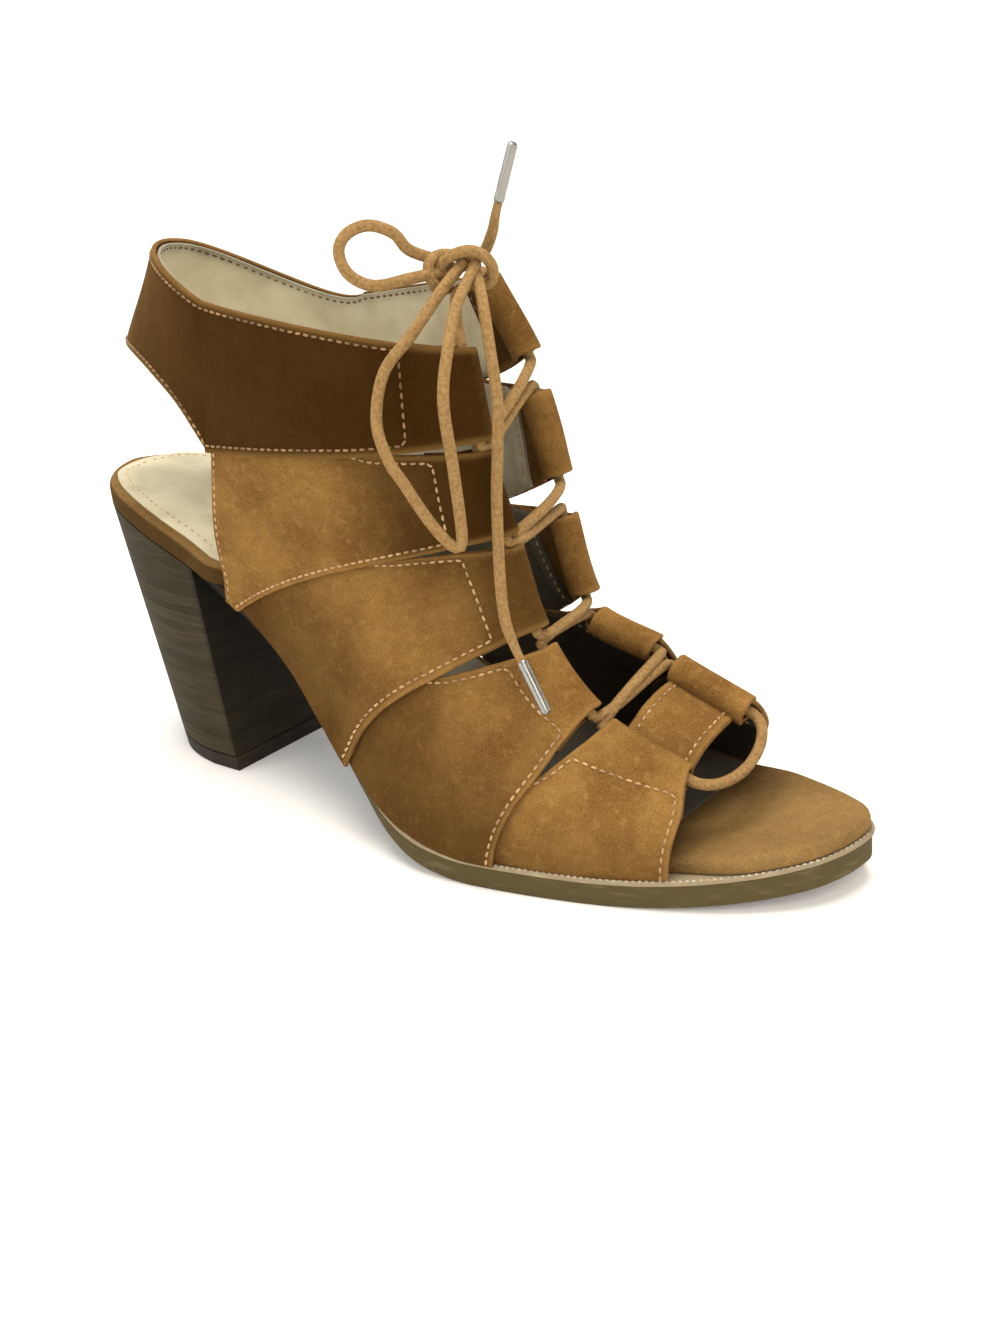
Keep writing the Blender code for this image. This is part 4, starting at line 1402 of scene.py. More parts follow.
    def back_path(self, side: Side, top: bool) -> tuple[Array, Array]:
        """The slingback's seam beside an edge, from the side to the middle of the back.

        Args:
            side: side of the foot.
            top: beside the top edge, else the bottom one.

        Returns:
            Heights, and shares of the way across.
        """
        v = np.linspace(0.0, -1.0, 60)
        inset = self.seam_inset / self.width(self.sling, side, v)
        return v, 1 - inset if top else inset

    def loop_rows(self, strap: int, side: Side, t: Array) -> tuple[Array, Array]:
        """Stations of a strap's rolled loop and of the flap that comes back under the tab.

        Args:
            strap: strap number.
            side: side of the foot.
            t: columns.

        Returns:
            Exposed and hidden face, from the top of the loop to the flap's end.
        """
        centre, across, out, _ = self.loop_frame(strap, t, side)
        angles = np.radians(np.linspace(78.0, -90.0, self.roll_steps))[:, None, None]
        ray = across * np.cos(angles) + out * np.sin(angles)
        roll = self.loop + (self.inner_puff if side is Side.INNER else 0.0)
        exposed, hidden = centre + ray * roll, centre + ray * (roll - self.suede)
        reach = np.linspace(self.loop + 1.2 * MM, self.flap, self.flap_steps)
        points, normals, lift = self.sheet(strap, side, self.from_fold(strap, side, reach), t)
        flat = self.flap_thickness
        sink = flat + (2 * self.loop - self.wall - flat) * (1 - ease(reach, self.loop, 3 * self.loop))
        flap = points + normals * (lift - sink[:, None, None])
        under = flap + normals * (flat - 0.1 * MM)
        return np.concatenate((exposed, flap)), np.concatenate((hidden, under))

    def place_suede(self, name: str, ribbon: Ribbon, shade: Array) -> None:
        """Adds a suede piece, painted with how dark and how rubbed it is, its edges lightest.

        Args:
            name: the piece's name.
            ribbon: its form.
            shade: how dark it is at each point of the exposed face.
        """
        exposed = ribbon.exposed
        steps = np.linalg.norm(np.diff(exposed, axis=1), axis=-1)
        reach = np.concatenate((np.zeros((len(steps), 1)), np.cumsum(steps, axis=1)), axis=1)
        near = np.minimum(reach, reach[:, -1:] - reach)
        rub = self.rub * np.exp(-((near / self.rub_width) ** 2))
        edge = np.full((len(exposed), 3), 0.2)
        dark = np.repeat(shade[:, :1], 3, 1) * 0.6
        mesh = ribbon.mesh(name)
        paint(mesh, "rub", np.concatenate((rub, edge, rub[:, ::-1] * 0, edge), axis=1))
        # the hidden face is painted darker than the exposed one, as painted shade
        paint(mesh, "shade", np.concatenate((shade, dark, shade[:, ::-1] + 0.2, dark), axis=1))
        place(name, mesh, [SUEDE, CUT_EDGE], Slot.SUEDE, "upper")

    def place_lining(self, name: str, inner: Array, normals: Array, shade: Array | float) -> None:
        """Adds a lining.

        Args:
            name: the piece's name.
            inner: grid of its inner face.
            normals: the outward directions there.
            shade: how dark it is round each station.
        """
        ribbon = Ribbon(inner, inner + normals * self.lining)
        mesh = ribbon.mesh(name)
        paint(mesh, "shade", np.broadcast_to(shade, (len(inner), ribbon.ring)))
        place(name, mesh, [LINING, LINING], Slot.SOCK, "upper")

    def suede_strap(self, strap: int, side: Side) -> None:
        """A strap's suede from the sole over its loop to the flap's end.

        Args:
            strap: strap number from the toe.
            side: side of the foot.
        """
        v, t = np.linspace(0.0, self.loop_start, 104), np.linspace(0.0, 1.0, 44)
        points, normals, lift = self.sheet(strap, side, v, t)
        top = points + normals * (lift + self.wall)
        pressed = top - normals * self.relief(strap, side, top)
        low = pressed - normals * self.suede
        seam = self.outer_line(strap, side, *self.seam_path(strap, side))[0]
        troughs(pressed, normals, [seam], *self.trough)
        loop, inside = self.loop_rows(strap, side, t)
        roll, flap = self.roll_steps, self.flap_steps
        v = np.concatenate((v, np.full(roll, 0.97), np.full(flap, 0.9)))
        # painted shade and the nap's tone, by height up the strap
        shade = np.repeat(np.interp(v, NAP_AND_SHADE_AT, NAP_AND_SHADE[strap])[:, None], len(t), 1)
        # painted shade and nap on the inner loops; painted shade on the flaps under the loops
        if side is Side.INNER:
            shade[-roll - flap : -flap], shade[-flap:] = INNER_ROLL_NAP_AND_SHADE[strap], FLAP_SHADE
        shade[-flap:] = np.maximum(shade[-flap:], FLAP_SHADE)
        ribbon = Ribbon(np.concatenate((pressed, loop)), np.concatenate((low, inside)))
        self.place_suede(f"suede_strap_{strap + 1}_{side.name.lower()}", ribbon, shade)

    def round_heel(self, offset: float, v: Array, t: Array) -> tuple[Array, Array, Array]:
        """The slingback as one grid from its outer end round the heel to its inner end.

        Args:
            offset: distance of the face from the inner face.
            v: heights from the end near the loop down to 0.
            t: columns.

        Returns:
            Points, outward normals, and the height v of each station.
        """
        path = np.concatenate((v, np.linspace(0.0, -1.0, self.back_steps)[1:]))
        grids = [self.sheet(self.sling, side, path, t) for side in Side]
        halves = [(p + n * (lift + offset), n) for p, n, lift in grids]
        points = np.concatenate((halves[0][0], halves[1][0][-2::-1]))
        normals = np.concatenate((halves[0][1], halves[1][1][-2::-1]))
        for _ in range(6):
            middle = unit(normals[:-2] + 2 * normals[1:-1] + normals[2:])
            normals = np.concatenate((normals[:1], middle, normals[-1:]))
        return points, normals, np.concatenate((path, path[-2::-1]))

    def slingback(self) -> None:
        """The last strap pair's suede, one band round the heel with a loop at both ends."""
        strap, t = self.sling, np.linspace(0.0, 1.0, 40)
        top, normals, v = self.round_heel(self.wall, np.linspace(self.loop_start, 0.0, 96), t)
        half = len(top) // 2
        press = [self.relief(strap, side, part) for side, part in zip(Side, (top[:half], top[half:]))]
        top = top - normals * np.concatenate(press)
        low = top - normals * self.suede
        troughs(top, normals, [line for line, _ in self.sling_seams()], *self.trough)
        outer, inner = (self.loop_rows(strap, side, t) for side in Side)
        faces = [np.concatenate((outer[k][::-1], face, inner[k])) for k, face in enumerate((top, low))]
        # painted shade and the nap's tone by height round the heel, and on the loops and flaps at both ends
        v = np.interp(v, NAP_AND_SHADE_AT, NAP_AND_SHADE[strap])
        roll, flap = self.roll_steps, self.flap_steps
        ends = np.full(roll, INNER_ROLL_NAP_AND_SHADE[strap]), np.full(flap, SLING_FLAP_SHADE)
        shade = np.concatenate((np.full(roll + flap, SLING_ROLL_NAP_AND_SHADE), v, *ends))
        self.place_suede("suede_slingback", Ribbon(*faces), np.repeat(shade[:, None], len(t), 1))

    def sling_seams(self) -> list[Line]:
        """The slingback's seams on its outer face: up both sides, and beside both edges round the heel.

        Returns:
            Points and normals of each line.
        """
        strap, seams = self.sling, []
        for side in Side:
            paths = (self.seam_path(strap, side), self.back_path(side, True), self.back_path(side, False))
            seams += [self.outer_line(strap, side, *path) for path in paths]
        return seams

    def rear_edge_seam(self, side: Side) -> Line:
        """Seam beside the open rear edge of the fourth strap pair, where it climbs to the slingback.

        Args:
            side: side of the foot.

        Returns:
            Points and normals.
        """
        strap, whole, low = self.sling - 1, 1 + self.lap, 0.05
        t = np.linspace((self.last.lifted - strap) / whole, 1 / whole, 50)
        wall = self.last.wall(strap + 0.6, np.array((0.0, low)), side)
        v = low * self.seam_inset / np.linalg.norm(wall[1] - wall[0])
        return self.outer_line(strap, side, np.full(50, v), t)

    def end_seam(self, strap: int, side: Side) -> Line:
        """Seam across the inside of a strap, beside the lining's end or the slingback's flap's end.

        Args:
            strap: strap number from the toe.
            side: side of the foot.

        Returns:
            Points and normals.
        """
        unlined = strap == self.sling
        away = self.flap - self.seam_inset if unlined else self.lining_end + self.seam_inset
        rise = self.flap_thickness + (0.0 if unlined else self.lining + self.glue)
        v = np.full(40, float(self.from_fold(strap, side, away)))
        points, normals, lift = self.spots(strap, side, v, np.linspace(0.05, 0.95, 40))
        return points + normals * (lift - rise), -normals

    def lining_strap(self, strap: int, side: Side) -> None:
        """A strap's lining, which climbs over the end of the flap and is sewn down there.

        Args:
            strap: strap number from the toe.
            side: side of the foot.
        """
        stop = float(self.from_fold(strap, side, self.lining_end))
        v, t = np.linspace(0.004, stop, 76), np.linspace(0.012, 0.988, 22)
        points, normals, lift = self.sheet(strap, side, v, t)
        press = self.relief(strap, side, points + normals * (lift + self.wall))
        heights, reach = self.fold_scale(strap, side)
        away = np.interp(v, heights[::-1], reach[::-1])
        over = 1 - ease(away, self.flap - 1 * MM, self.flap + 4 * MM)[:, None, None]
        climb = over * (self.flap_thickness + self.lining + self.glue)
        inner = points + normals * (lift - climb - press * (1 - over))
        name = f"lining_strap_{strap + 1}_{side.name.lower()}"
        self.place_lining(name, inner, normals, LINING_SHADE[strap])

    def lining_back(self) -> None:
        """The slingback's lining, darker toward its edges."""
        stop = min(float(self.from_fold(self.sling, side, self.lining_end)) for side in Side)
        t = np.linspace(0.012, 0.988, 22)
        inner, normals, _ = self.round_heel(0.0, np.linspace(stop, 0.0, 50), t)
        inner = inner - normals * ripple(inner, 14 * MM, 3.0)[..., None] * 0.25 * MM
        edge = self.edge_shade
        row = np.abs(np.linspace(-1, 1, len(t))) ** 6 * edge
        row = np.concatenate((row, [edge] * 3, row, [edge] * 3))
        self.place_lining("lining_slingback", inner, normals, row)

    def stitches(self) -> None:
        """Every seam of the upper: a piece for each side, and the darker ones on and in the slingback."""
        sling, sew = self.sling, self.seam.sew
        for side in Side:
            lines = []
            for strap in range(sling):
                lines.append(self.outer_line(strap, side, *self.seam_path(strap, side)))
                lines.append(self.end_seam(strap, side))
            sew(f"stitches_{side.name.lower()}", lines + [self.rear_edge_seam(side)], THREAD, "upper")
        lines = self.sling_seams() + [self.end_seam(sling, side) for side in Side]
        # the slingback's thread is darker, for painted shade and soil
        sew("stitches_slingback", lines, SHADED_SOILED_THREAD, "upper")
        lines = []
        for side in Side:
            for v in (np.linspace(0.0, -1.0, 60), np.linspace(0.55, 0.0, 40)):
                inset = self.seam_inset / self.width(sling, side, v)
                points, normals, lift = self.spots(sling, side, v, 1 - inset)
                lines.append((points + normals * lift, -normals))
        sew("stitches_inside", lines, DARK_THREAD, "upper")

    def toe_bridge(self) -> None:
        """Small suede strip under the lace that joins the two front straps, sewn along both edges."""
        u = np.linspace(0.20, 0.80, 22)
        # height on the wall, and distance from it: under the strap, under the loop and past the loop
        course = (
            (0.60, self.lap_sink - self.wall / 2),
            (0.74, -self.wall / 2 - 0.6 * MM),
            (1.00, self.wall / 2 - 2 * self.loop - 0.8 * MM),
        )
        outer, inner = (
            [self.last.wall(u, v, side) + self.normal(u, v, side) * off for v, off in course] for side in Side
        )
        knots = np.array(outer + [(outer[2] + inner[2]) / 2 + UP * MM] + inner[::-1])
        path = np.stack([flow(knots[:, k], 10) for k in range(len(u))], 1)
        normals = grid_normals(path, UP)
        top, low = path + normals * self.wall / 2, path - normals * self.wall / 2
        # seams run along the third column from each edge
        seams = [(top[:, k].copy(), normals[:, k]) for k in (2, -3)]
        troughs(top, normals, [flow(line, 1) for line, _ in seams], 0.9 * MM, 0.25 * MM)
        self.place_suede("suede_toe_bridge", Ribbon(top, low), np.full(top.shape[:2], 0.05))
        self.seam.sew("stitches_toe_bridge", seams, THREAD, "upper")

    def build(self) -> None:
        """Every piece of the upper."""
        for side in Side:
            for strap in range(self.sling):
                self.suede_strap(strap, side)
                self.lining_strap(strap, side)
        self.slingback()
        self.lining_back()
        self.toe_bridge()
        self.stitches()


# Sole
Form = tuple[Array, ...]


def level_lines(plan: Form, height: Array) -> list[Line]:
    """Both edges of an outline at a height, as lines on a level surface."""
    x, left, right = plan
    return [(vec(x, y, height), np.tile(UP, (len(x), 1))) for y in (left, right)]


def layer(name: str, form: Form, rim: float, low_rim: float, columns: int = 28) -> Mesh:
    """Layer of the sole with rounded rims.

    Args:
        name: the mesh's name.
        form: for each station x, the left and right y, the low z and the high z.
        rim: how far the upper rim is rounded.
        low_rim: how far the lower rim is rounded.
        columns: points across its top.

    Returns:
        The mesh.
    """
    x, left, right, low, high = form
    half, middle = (right - left) / 2, (right + left) / 2
    turn = np.minimum(np.minimum(rim, half * 0.4), (high - low) * 0.6)
    under = np.minimum(np.minimum(low_rim, half * 0.4), (high - low) * 0.35)
    arc = np.radians(np.linspace(0, 90, 6))
    right_side = [(half - under * (1 - math.cos(a)), low + under * (1 - math.sin(a))) for a in arc[::-1]]
    right_side += [(half - turn * (1 - math.cos(a)), high - turn * (1 - math.sin(a))) for a in arc]
    inner = np.linspace(1, -1, columns)[1:-1]
    top = [((half - turn) * k, high) for k in inner]
    bottom = [((half - under) * k, low) for k in np.linspace(-1, 1, 8)[1:-1]]
    section = right_side + top + [(-a, b) for a, b in right_side[::-1]] + bottom
    return lofted(name, np.stack([vec(x, middle + a, b) for a, b in section], 1), 45.0)


@dataclass(frozen=True)
class Sole:
    """Footbed with its sock, rand and outsole, laid on one line from heel to toe."""

    last: Last
    sock: float = 0.6 * MM
    sock_margin: float = 3.4 * MM
    # from the sock's and the welt's edge to the seam in them
    sock_seam: float = 3.2 * MM
    # the sock's seam ends and the welt's begins at this share of the length
    seam_share: float = 0.46
    welt_seam_inset: float = 0.5 * MM
    sock_end: float = 0.82
    outsole_inset: float = 0.6 * MM
    footbed_rim: float = 2.2 * MM
    rim: float = 0.45 * MM
    trim: float = 0.8 * MM
    waist_trim: float = 1.9 * MM
    # how dark the layers are under the straps and toward the waist
    sock_shade: float = 0.92
    rand_shade: float = 0.95
    outsole_shade: float = 0.92
    seam: Seam = Seam(pitch=2.6 * MM, stitch=1.5 * MM, thread=0.40 * MM, proud=0.02 * MM)
    welt_seam: Seam = Seam(pitch=1.5 * MM, stitch=1.0 * MM, thread=0.5 * MM, proud=0.02 * MM)

    def stations(self, start: float, stop: float, count: int, round_start: bool = True) -> Array:
        """Shares from start to stop, closer together toward round ends.

        Args:
            start: first share.
            stop: last share.
            count: how many.
            round_start: the start is a round end too.

        Returns:
            The shares.
        """
        t = np.linspace(0, 1, count)
        t = (1 - np.cos(np.pi * t)) / 2 if round_start else np.sin(np.pi / 2 * t)
        return start + (stop - start) * t

    def plan(self, share: Array, inset: Array | float) -> tuple[Array, Array, Array]:
        """Outline of a layer that stands in from the sole's edge all round.

        Args:
            share: shares of the length.
            inset: how far it stands in, for both sides or for the outer and the inner one.

        Returns:
            Row x, the outer edge's y and the inner edge's y.
        """
        outer, inner = np.broadcast_to(inset, (2, len(share)))
        # at the round ends the inset shortens the layer instead of narrowing it
        heel, toe = 1 - ease(share, 0.0, 0.05), ease(share, 0.955, 1.0)
        beside = (1 - heel) * (1 - toe)
        x = self.last.along(share) + (heel - toe) * (outer + inner) / 2
        left = self.last.edge_y(share, Side.OUTER) + outer * beside
        return x, left, self.last.edge_y(share, Side.INNER) - inner * beside

    def footbed_insets(self, share: Array) -> Array:
        """The footbed's insets on the outer and the inner side."""
        return np.stack([self.last.footbed_inset(share, side) for side in Side])

    def welt_inset(self, share: Array) -> Array:
        """How far the welt is trimmed back, more at the waist, where the straps hide it."""
        return self.trim + self.waist_trim * (1 - ease(share, 0.44, 0.60))

    def footbed(self) -> None:
        """Insole board wrapped in suede, its edge deeper at the seat."""
        last, share = self.last, self.stations(HEEL_END, TOE_END, 190)
        plan = self.plan(share, self.footbed_insets(share))
        share = last.share_at(plan[0])
        low, high = last.bed_z(share) + last.gap, self.bed_top(share)
        mesh = layer("footbed_suede_cover", (*plan, low, high), self.footbed_rim, 0.2 * MM)
        share, height = last.shares(mesh), np.array([vertex.co.z for vertex in mesh.vertices])
        # painted shade: the wrapped edge is darker than the top at the seat, and the forefoot is darker under
        # the straps
        seat = np.where(height < self.bed_top(share) - 0.6 * MM, 0.8, 0.25) * (1 - ease(share, 0.28, 0.40))
        wear_and_shade = 0.75 * (1 - ease(share, 0.80, 0.93)) * ease(share, 0.28, 0.40)
        self.add_layer(mesh, np.maximum(seat, wear_and_shade), BED_SUEDE, Slot.FOOTBED, "footbed")

    def bed_top(self, share: Array) -> Array:
        """Height of the footbed's upper face."""
        return self.last.bed_z(share) + self.last.footbed_height(share)

    def add_layer(self, mesh: Mesh, shade: Array, finish: Finish, slot: Slot, node: str) -> None:
        """Paints how dark a layer is at each vertex, and places it."""
        paint(mesh, "shade", shade)
        place(mesh.name, mesh, [finish], slot, node)

    def sock_lining(self) -> None:
        """Cream sock glued on the footbed, sewn round the seat."""
        last, share = self.last, self.stations(HEEL_END, self.sock_end, 150)
        plan = self.plan(share, self.footbed_insets(share) + self.sock_margin)
        top = self.bed_top(last.share_at(plan[0]))
        mesh = layer("sock_leather", (*plan, top, top + self.sock), 0.4 * MM, 0.1 * MM)
        shade = self.sock_shade * ease(last.shares(mesh), 0.25, 0.55)
        self.add_layer(mesh, shade, SOCK_LEATHER, Slot.SOCK, "sock")
        share = self.stations(HEEL_END, self.seam_share, 120)
        plan = self.plan(share, self.footbed_insets(share) + self.sock_margin + self.sock_seam)
        lines = level_lines(plan, self.bed_top(last.share_at(plan[0])) + self.sock)
        self.seam.sew("stitches_sock", lines, THREAD, "sock")

    def rand(self) -> None:
        """Light strip between the straps and the outsole, with a fine seam along its edge."""
        last = self.last
        share = self.stations(last.breast_share + last.gap / last.length, TOE_END, 170, False)
        plan = self.plan(share, self.welt_inset(share))
        bed = last.bed_z(last.share_at(plan[0]))
        mesh = layer("leatherboard_rand", (*plan, bed - last.rand + 0.02 * MM, bed), self.rim, self.rim)
        shade = self.rand_shade * (1 - ease(last.shares(mesh), 0.36, 0.56))
        self.add_layer(mesh, shade, WELT, Slot.RAND, "rand")
        share = self.stations(self.seam_share, TOE_END, 200, False)
        plan = self.plan(share, self.welt_inset(share) + self.welt_seam_inset)
        lines = level_lines(plan, last.bed_z(last.share_at(plan[0])))
        self.welt_seam.sew("stitches_welt", lines, WELT_THREAD, "rand")

    def outsole(self) -> None:
        """Rubber outsole, thin at the waist."""
        last = self.last
        share = self.stations(last.breast_share + last.gap / last.length, TOE_END, 170, False)
        plan = self.plan(share, self.outsole_inset + self.welt_inset(share))
        thick = last.outsole_waist + (last.outsole - last.outsole_waist) * ease(share, 0.42, 0.60)
        high = last.bed_z(last.share_at(plan[0])) - last.rand
        mesh = layer("rubber_outsole", (*plan, high - thick, high), self.rim, self.rim)
        shade = self.outsole_shade * (1 - ease(last.shares(mesh), 0.36, 0.58))
        self.add_layer(mesh, shade, SOLE_RUBBER, Slot.OUTSOLE, "outsole")

    def build(self) -> None:
        """Every layer."""
        self.footbed()
        self.sock_lining()
        self.rand()
        self.outsole()


@dataclass(frozen=True)
class Heel:
    """Block heel: round back, flat breast, wrapped in stacked leather, on a rubber top lift."""

    last: Last
    foot_back_share: float = 0.067
    foot_breast_share: float = 0.230
    back_share: float = 0.008
    foot_width: float = 47 * MM
    top_lift: float = 4.5 * MM
    inset: float = 0.5 * MM
    steps: int = 40
    levels: int = 36

    def outline(self, t: Array, side: Side, at_top: bool) -> tuple[Array, Array]:
        """Outline under the footbed or on the floor.

        Args:
            t: 0 at the back to 1 at the breast.
            side: side of the foot.
            at_top: under the footbed, else on the floor.

        Returns:
            Row x and y.
        """
        last = self.last
        if at_top:
            share = self.back_share + (last.breast_share - self.back_share) * (1 - np.cos(np.pi / 2 * t))
            inset = self.inset * np.minimum(1.0, t * 4)
            return last.along(share), last.edge_y(share, side) - side.value * inset
        back, breast = last.along(self.foot_back_share), last.along(self.foot_breast_share)
        x = back + (breast - back) * (1 - np.cos(np.pi / 2 * t))
        y = self.foot_width / 2 * np.minimum(1.0, np.sin(np.pi / 2 * t) ** 0.75 + 0.03)
        return x, side.value * y

    def ring(self, share_up: float, z_top: float | None) -> Array:
        """Points round the heel at a share of its height.

        Args:
            share_up: 0 on the floor to 1 under the footbed.
            z_top: height of its top, or none where that follows the footbed.

        Returns:
            Points from the back along the outer side, the breast and the inner side.
        """
        t = np.linspace(0, 1, self.steps)
        halves = []
        for side in Side:
            (x_top, y_top), (x_low, y_low) = self.outline(t, side, True), self.outline(t, side, False)
            high = self.last.bed_z(self.last.share_at(x_top)) if z_top is None else z_top
            z = high * share_up
            halves.append(vec(x_low + (x_top - x_low) * share_up, y_low + (y_top - y_low) * share_up, z))
        breast = np.linspace(halves[0][-1], halves[1][-1], 14)[1:-1]
        return np.concatenate((halves[0], breast, halves[1][::-1]))

    def build(self) -> None:
        """Block and top lift."""
        last, high = self.last, self.last.heel_height
        top, low = self.ring(1.0, None), self.ring((self.top_lift + last.gap) / high, high)
        rings = [low + (top - low) * (k / self.levels) for k in range(self.levels + 1)]
        block = lofted("stacked_heel_block", rings)
        paint(block, "shade", 0.85 * ease(last.shares(block), 0.225, 0.235))
        place("stacked_heel_block", block, [STACK], Slot.HEEL, "heel_block")
        rings = [self.ring(k * self.top_lift / 4 / high, high) for k in range(5)]
        # the lift's faces are a little smaller than its sides, so that its edges are broken
        middle, smaller = np.array((last.along(0.15), 0.0, 0.0)), np.array((0.985, 0.985, 1.0))
        floor, seat = (middle + (ring - middle) * smaller for ring in (rings[0], rings[-1]))
        rings[0], rings[-1] = rings[0] + UP * 0.25 * MM, rings[-1] - UP * 0.2 * MM
        lift = lofted("rubber_top_lift", [floor, *rings, seat])
        paint(lift, "shade", np.zeros(len(lift.vertices)))
        place("rubber_top_lift", lift, [LIFT_RUBBER], Slot.LIFT, "heel_tip")


# Lace
BowRows = tuple[Spot, ...]

# Courses of the bow in lace diameters from the knot: toward the toe, inward, up
LOOP_SMALL: BowRows = (
    (-1.9, -2.6, 1.2),
    (-2.4, -3.4, 2.4),
    (-3.5, -4.6, 3.1),
    (-4.6, -5.7, 2.7),
    (-4.9, -6.4, 1.6),
    (-4.2, -6.4, 0.1),
    (-2.9, -5.4, -0.8),
    (-1.3, -3.4, -0.6),
)
LOOP_LONG: BowRows = (
    (0.6, -2.6, -1.6),
    (0.2, -5.6, -4.0),
    (-1.2, -7.3, -6.3),
    (-1.3, -8.5, -9.4),
    (0.0, -9.2, -11.8),
    (1.1, -9.1, -13.4),
    (2.6, -8.5, -16.2),
    (3.9, -7.9, -17.9),
    (4.5, -7.6, -17.4),
    (4.4, -7.6, -12.7),
    (3.8, -7.2, -8.0),
    (3.1, -5.2, -4.5),
    (2.4, -3.2, -2.4),
)
END_LONG: BowRows = (
    (2.9, -1.1, -2.1),
    (4.6, -2.8, -5.4),
    (5.3, -3.4, -8.8),
    (5.4, -4.0, -12.1),
    (5.4, -4.6, -15.5),
    (5.6, -5.3, -21.0),
    (6.2, -5.9, -23.6),
    (7.0, -6.2, -25.2),
    (7.8, -6.4, -26.4),
)
END_SHORT: BowRows = (
    (-2.9, 0.8, -0.5),
    (-1.6, 2.0, -0.6),
    (0.0, 2.8, 0.1),
    (1.2, 2.7, 1.5),
    (1.9, 2.5, 2.9),
    (2.3, 2.5, 3.8),
)


# The knot in millimetres from its middle: right, up, near. The arch lies over the hanging strands
KNOT_ARCH: BowRows = (
    (-2.3, -3.7, -2.4),
    (-4.3, -2.4, -1.2),
    (-3.6, -0.9, 0.9),
    (-1.6, 0.5, 2.2),
    (1.1, 1.3, 2.9),
    (4.1, 1.3, 2.9),
    (6.8, -0.2, 2.2),
    (8.1, -2.5, 0.8),
    (7.4, -4.6, -0.8),
    (5.1, -4.9, -2.2),
    (1.4, -4.2, -2.8),
)
KNOT_WRAP: BowRows = (
    (3.5, 0.9, -2.2),
    (-0.8, 2.1, -1.2),
    (-3.6, 1.7, 0.8),
    (-5.5, 0.3, 2.2),
    (-6.2, -2.0, 2.4),
    (-5.5, -4.3, 1.4),
    (-4.1, -5.6, -0.4),
    (-1.8, -4.8, -1.9),
)


# A metal tip's outline: millimetres from its start, and width as a share of its thickness
TIP_OUTLINE: Rows = (
    (0.0, 0.86),
    (0.2, 0.97),
    (0.5, 1.0),
    (2.0, 0.97),
    (2.5, 0.90),
    (3.0, 0.97),
    (12.0, 0.93),
    (12.7, 0.85),
    (13.0, 0.6),
)


